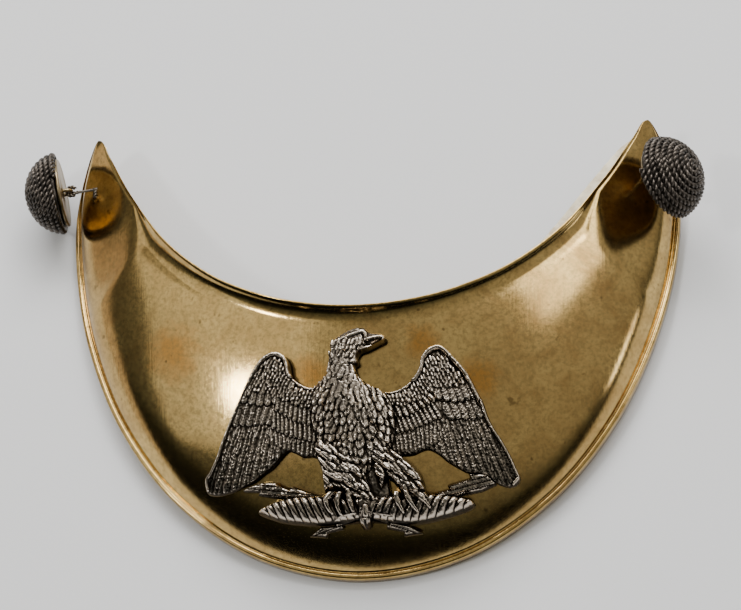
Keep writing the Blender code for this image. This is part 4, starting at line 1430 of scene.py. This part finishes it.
class GORGET_OT_buttons(bpy.types.Operator):
    """Build the cord-wound buttons with their brass backs"""

    bl_idname = "gorget.buttons"
    bl_label = "Build buttons"

    def execute(self, context):
        sizes = context.scene.gorget_buttons
        cord = cord_material("tarnished cord", sizes.cord)
        # The backs' brass colours carry painted shade: darkened for the dark plate side that they mirror
        brass = brass_material("button brass shaded", BACK_CLEAN_SHADED, BACK_TARNISH_SHADED, roughness=0.24)
        for row in BUTTONS:
            side = row[0]
            dome = new_object("cord_" + side, cord_dome(row, sizes.turns, sizes.lay), cord, 60.0)
            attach(dome, "root")
            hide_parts("button_cord_" + side)
            back = new_object("back_" + side, button_back(row), brass, 40.0)
            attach(back, "root")
            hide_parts("button_back_" + side)
        return {"FINISHED"}


class GORGET_OT_ties(bpy.types.Operator):
    """Build the twisted wires that tie the buttons to the tips"""

    bl_idname = "gorget.ties"
    bl_label = "Build tie wires"

    def execute(self, context):
        sizes = context.scene.gorget_eagle
        wire = silver_material("bare wire", sizes.silver, sizes.hollow, roughness=0.24, low=0.36, high=1.0)
        for row in BUTTONS:
            mesh = tie_wire(row)
            values = np.full(len(mesh.vertices), 0.5, np.float32)
            mesh.attributes.new("cavity", "FLOAT", "POINT").data.foreach_set("value", values)
            obj = new_object("wire_" + row[0], mesh, wire, 60.0)
            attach(obj, "root")
            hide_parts("tie_wire_" + row[0])
        return {"FINISHED"}


def area_light(name, place_mm, wide, tall, power):
    """Rectangular light that aims at the middle of the gorget."""
    data = bpy.data.lights.new(name, "AREA")
    data.energy = power
    data.shape = "RECTANGLE"
    data.size = wide
    data.size_y = tall
    obj = bpy.data.objects.new(name, data)
    obj.location = Vector(place_mm) * MM
    obj.rotation_mode = "QUATERNION"
    obj.rotation_quaternion = (Vector(LIGHT_AIM) - Vector(place_mm)).to_track_quat("-Z", "Y")
    bpy.context.scene.collection.objects.link(obj)


def lay_paper(color):
    """Sheet of paper under the gorget, wider than the picture."""
    bm = bmesh.new()
    bmesh.ops.create_grid(bm, x_segments=8, y_segments=8, size=PAPER_HALF)
    mesh = bpy.data.meshes.new("paper")
    bm.to_mesh(mesh)
    bm.free()
    paper = new_object("paper", mesh, paper_material("pale paper", color))
    paper.location = (0.0, 0.0, -PAPER_DROP)


def room_world():
    """Surroundings that the metal mirrors: dark low front, pale high back, pale wall at the left."""
    world = bpy.data.worlds.new("room")
    world.use_nodes = True
    tree = world.node_tree
    split = tree.nodes.new("ShaderNodeSeparateXYZ")
    tree.links.new(tree.nodes.new("ShaderNodeTexCoord").outputs["Generated"], split.inputs[0])
    lean = weighted(tree, split, ROOM_LEAN)
    right = math_node(tree, "MAXIMUM", split.outputs["X"], 0.0)
    lean = math_node(tree, "MULTIPLY_ADD", right, ROOM_RIGHT, lean)
    under = math_node(tree, "SUBTRACT", ROOM_LOW_UNDER, split.outputs["Z"])
    low = math_node(tree, "MULTIPLY", math_node(tree, "MAXIMUM", under, 0.0), right)
    lean = math_node(tree, "MULTIPLY_ADD", low, ROOM_LOW_RIGHT, lean)
    tones = ramp(tree, math_node(tree, "MULTIPLY_ADD", lean, 0.5, 0.5), ROOM_TONES)
    side = weighted(tree, split, PALE_LEAN)
    pale = ramp(tree, side, ((PALE_FROM, grey(0.0)), (PALE_FULL, grey(1.0))))
    tree.links.new(mix_color(tree, pale, tones, PALE_WALL), tree.nodes["Background"].inputs["Color"])
    return world


def add_camera():
    """Camera that looks down on the gorget as the photograph does."""
    data = bpy.data.cameras.new("camera")
    data.sensor_width = VIEW_SENSOR
    data.lens = VIEW_LENS
    data.shift_x, data.shift_y = VIEW_SHIFT
    data.clip_start = 0.01
    data.clip_end = 20.0
    camera = bpy.data.objects.new("camera", data)
    bpy.context.scene.collection.objects.link(camera)
    back = Vector(VIEW_BACK).normalized()
    right = Vector(VIEW_RIGHT).normalized()
    up = back.cross(right).normalized()
    right = up.cross(back).normalized()
    turn = Matrix((right, up, back)).transposed()
    place_m = in_frame(*VIEW_TARGET) + back * VIEW_DISTANCE * MM
    camera.matrix_world = Matrix.Translation(place_m) @ turn.to_4x4()
    return camera


class GORGET_OT_stage(bpy.types.Operator):
    """Lay the paper and set the lights, the room and the camera"""

    bl_idname = "gorget.stage"
    bl_label = "Set stage"

    def execute(self, context):
        scene = context.scene
        sizes = scene.gorget_stage
        lay_paper(sizes.paper)
        scene.world = room_world()
        for name, place_mm, wide, tall, power in LIGHTS:
            area_light(name, place_mm, wide, tall, power * sizes.light)
        scene.camera = add_camera()
        return {"FINISHED"}


class GORGET_PT_panel(bpy.types.Panel):
    """Sizes and colours of the gorget's looks"""

    bl_idname = "GORGET_PT_panel"
    bl_label = "Gorget"
    bl_space_type = "VIEW_3D"
    bl_region_type = "UI"
    bl_category = "Gorget"

    def draw(self, context):
        scene = context.scene
        for group, names, operators in PANEL_ROWS:
            box = self.layout.box()
            values = getattr(scene, group)
            for name in names:
                box.prop(values, name)
            for operator in operators:
                box.operator(operator)


PANEL_ROWS = (
    ("gorget_plate", ("ribs", "dome_steps", "waver", "brass", "tarnish"),
     ("gorget.plate", "gorget.lining")),
    ("gorget_eagle", ("grid", "silver", "hollow"), ("gorget.eagle", "gorget.ties")),
    ("gorget_buttons", ("turns", "lay", "cord"), ("gorget.buttons",)),
    ("gorget_stage", ("paper", "light"), ("gorget.stage",)),
)
GROUPS = (
    ("gorget_plate", PlateSizes),
    ("gorget_eagle", EagleSizes),
    ("gorget_buttons", ButtonSizes),
    ("gorget_stage", StageSizes),
)
OPERATORS = (
    GORGET_OT_stage,
    GORGET_OT_plate,
    GORGET_OT_lining,
    GORGET_OT_eagle,
    GORGET_OT_buttons,
    GORGET_OT_ties,
)


def register():
    for name, group in GROUPS:
        bpy.utils.register_class(group)
        setattr(bpy.types.Scene, name, PointerProperty(type=group))
    for operator in OPERATORS:
        bpy.utils.register_class(operator)
    bpy.utils.register_class(GORGET_PT_panel)


def unregister():
    bpy.utils.unregister_class(GORGET_PT_panel)
    for operator in reversed(OPERATORS):
        bpy.utils.unregister_class(operator)
    for name, group in reversed(GROUPS):
        delattr(bpy.types.Scene, name)
        bpy.utils.unregister_class(group)


def main():
    register()
    bpy.ops.gorget.stage()
    bpy.ops.gorget.plate()
    bpy.ops.gorget.lining()
    bpy.ops.gorget.eagle()
    bpy.ops.gorget.buttons()
    bpy.ops.gorget.ties()
    bpy.context.view_layer.update()


if __name__ == "__main__":
    main()
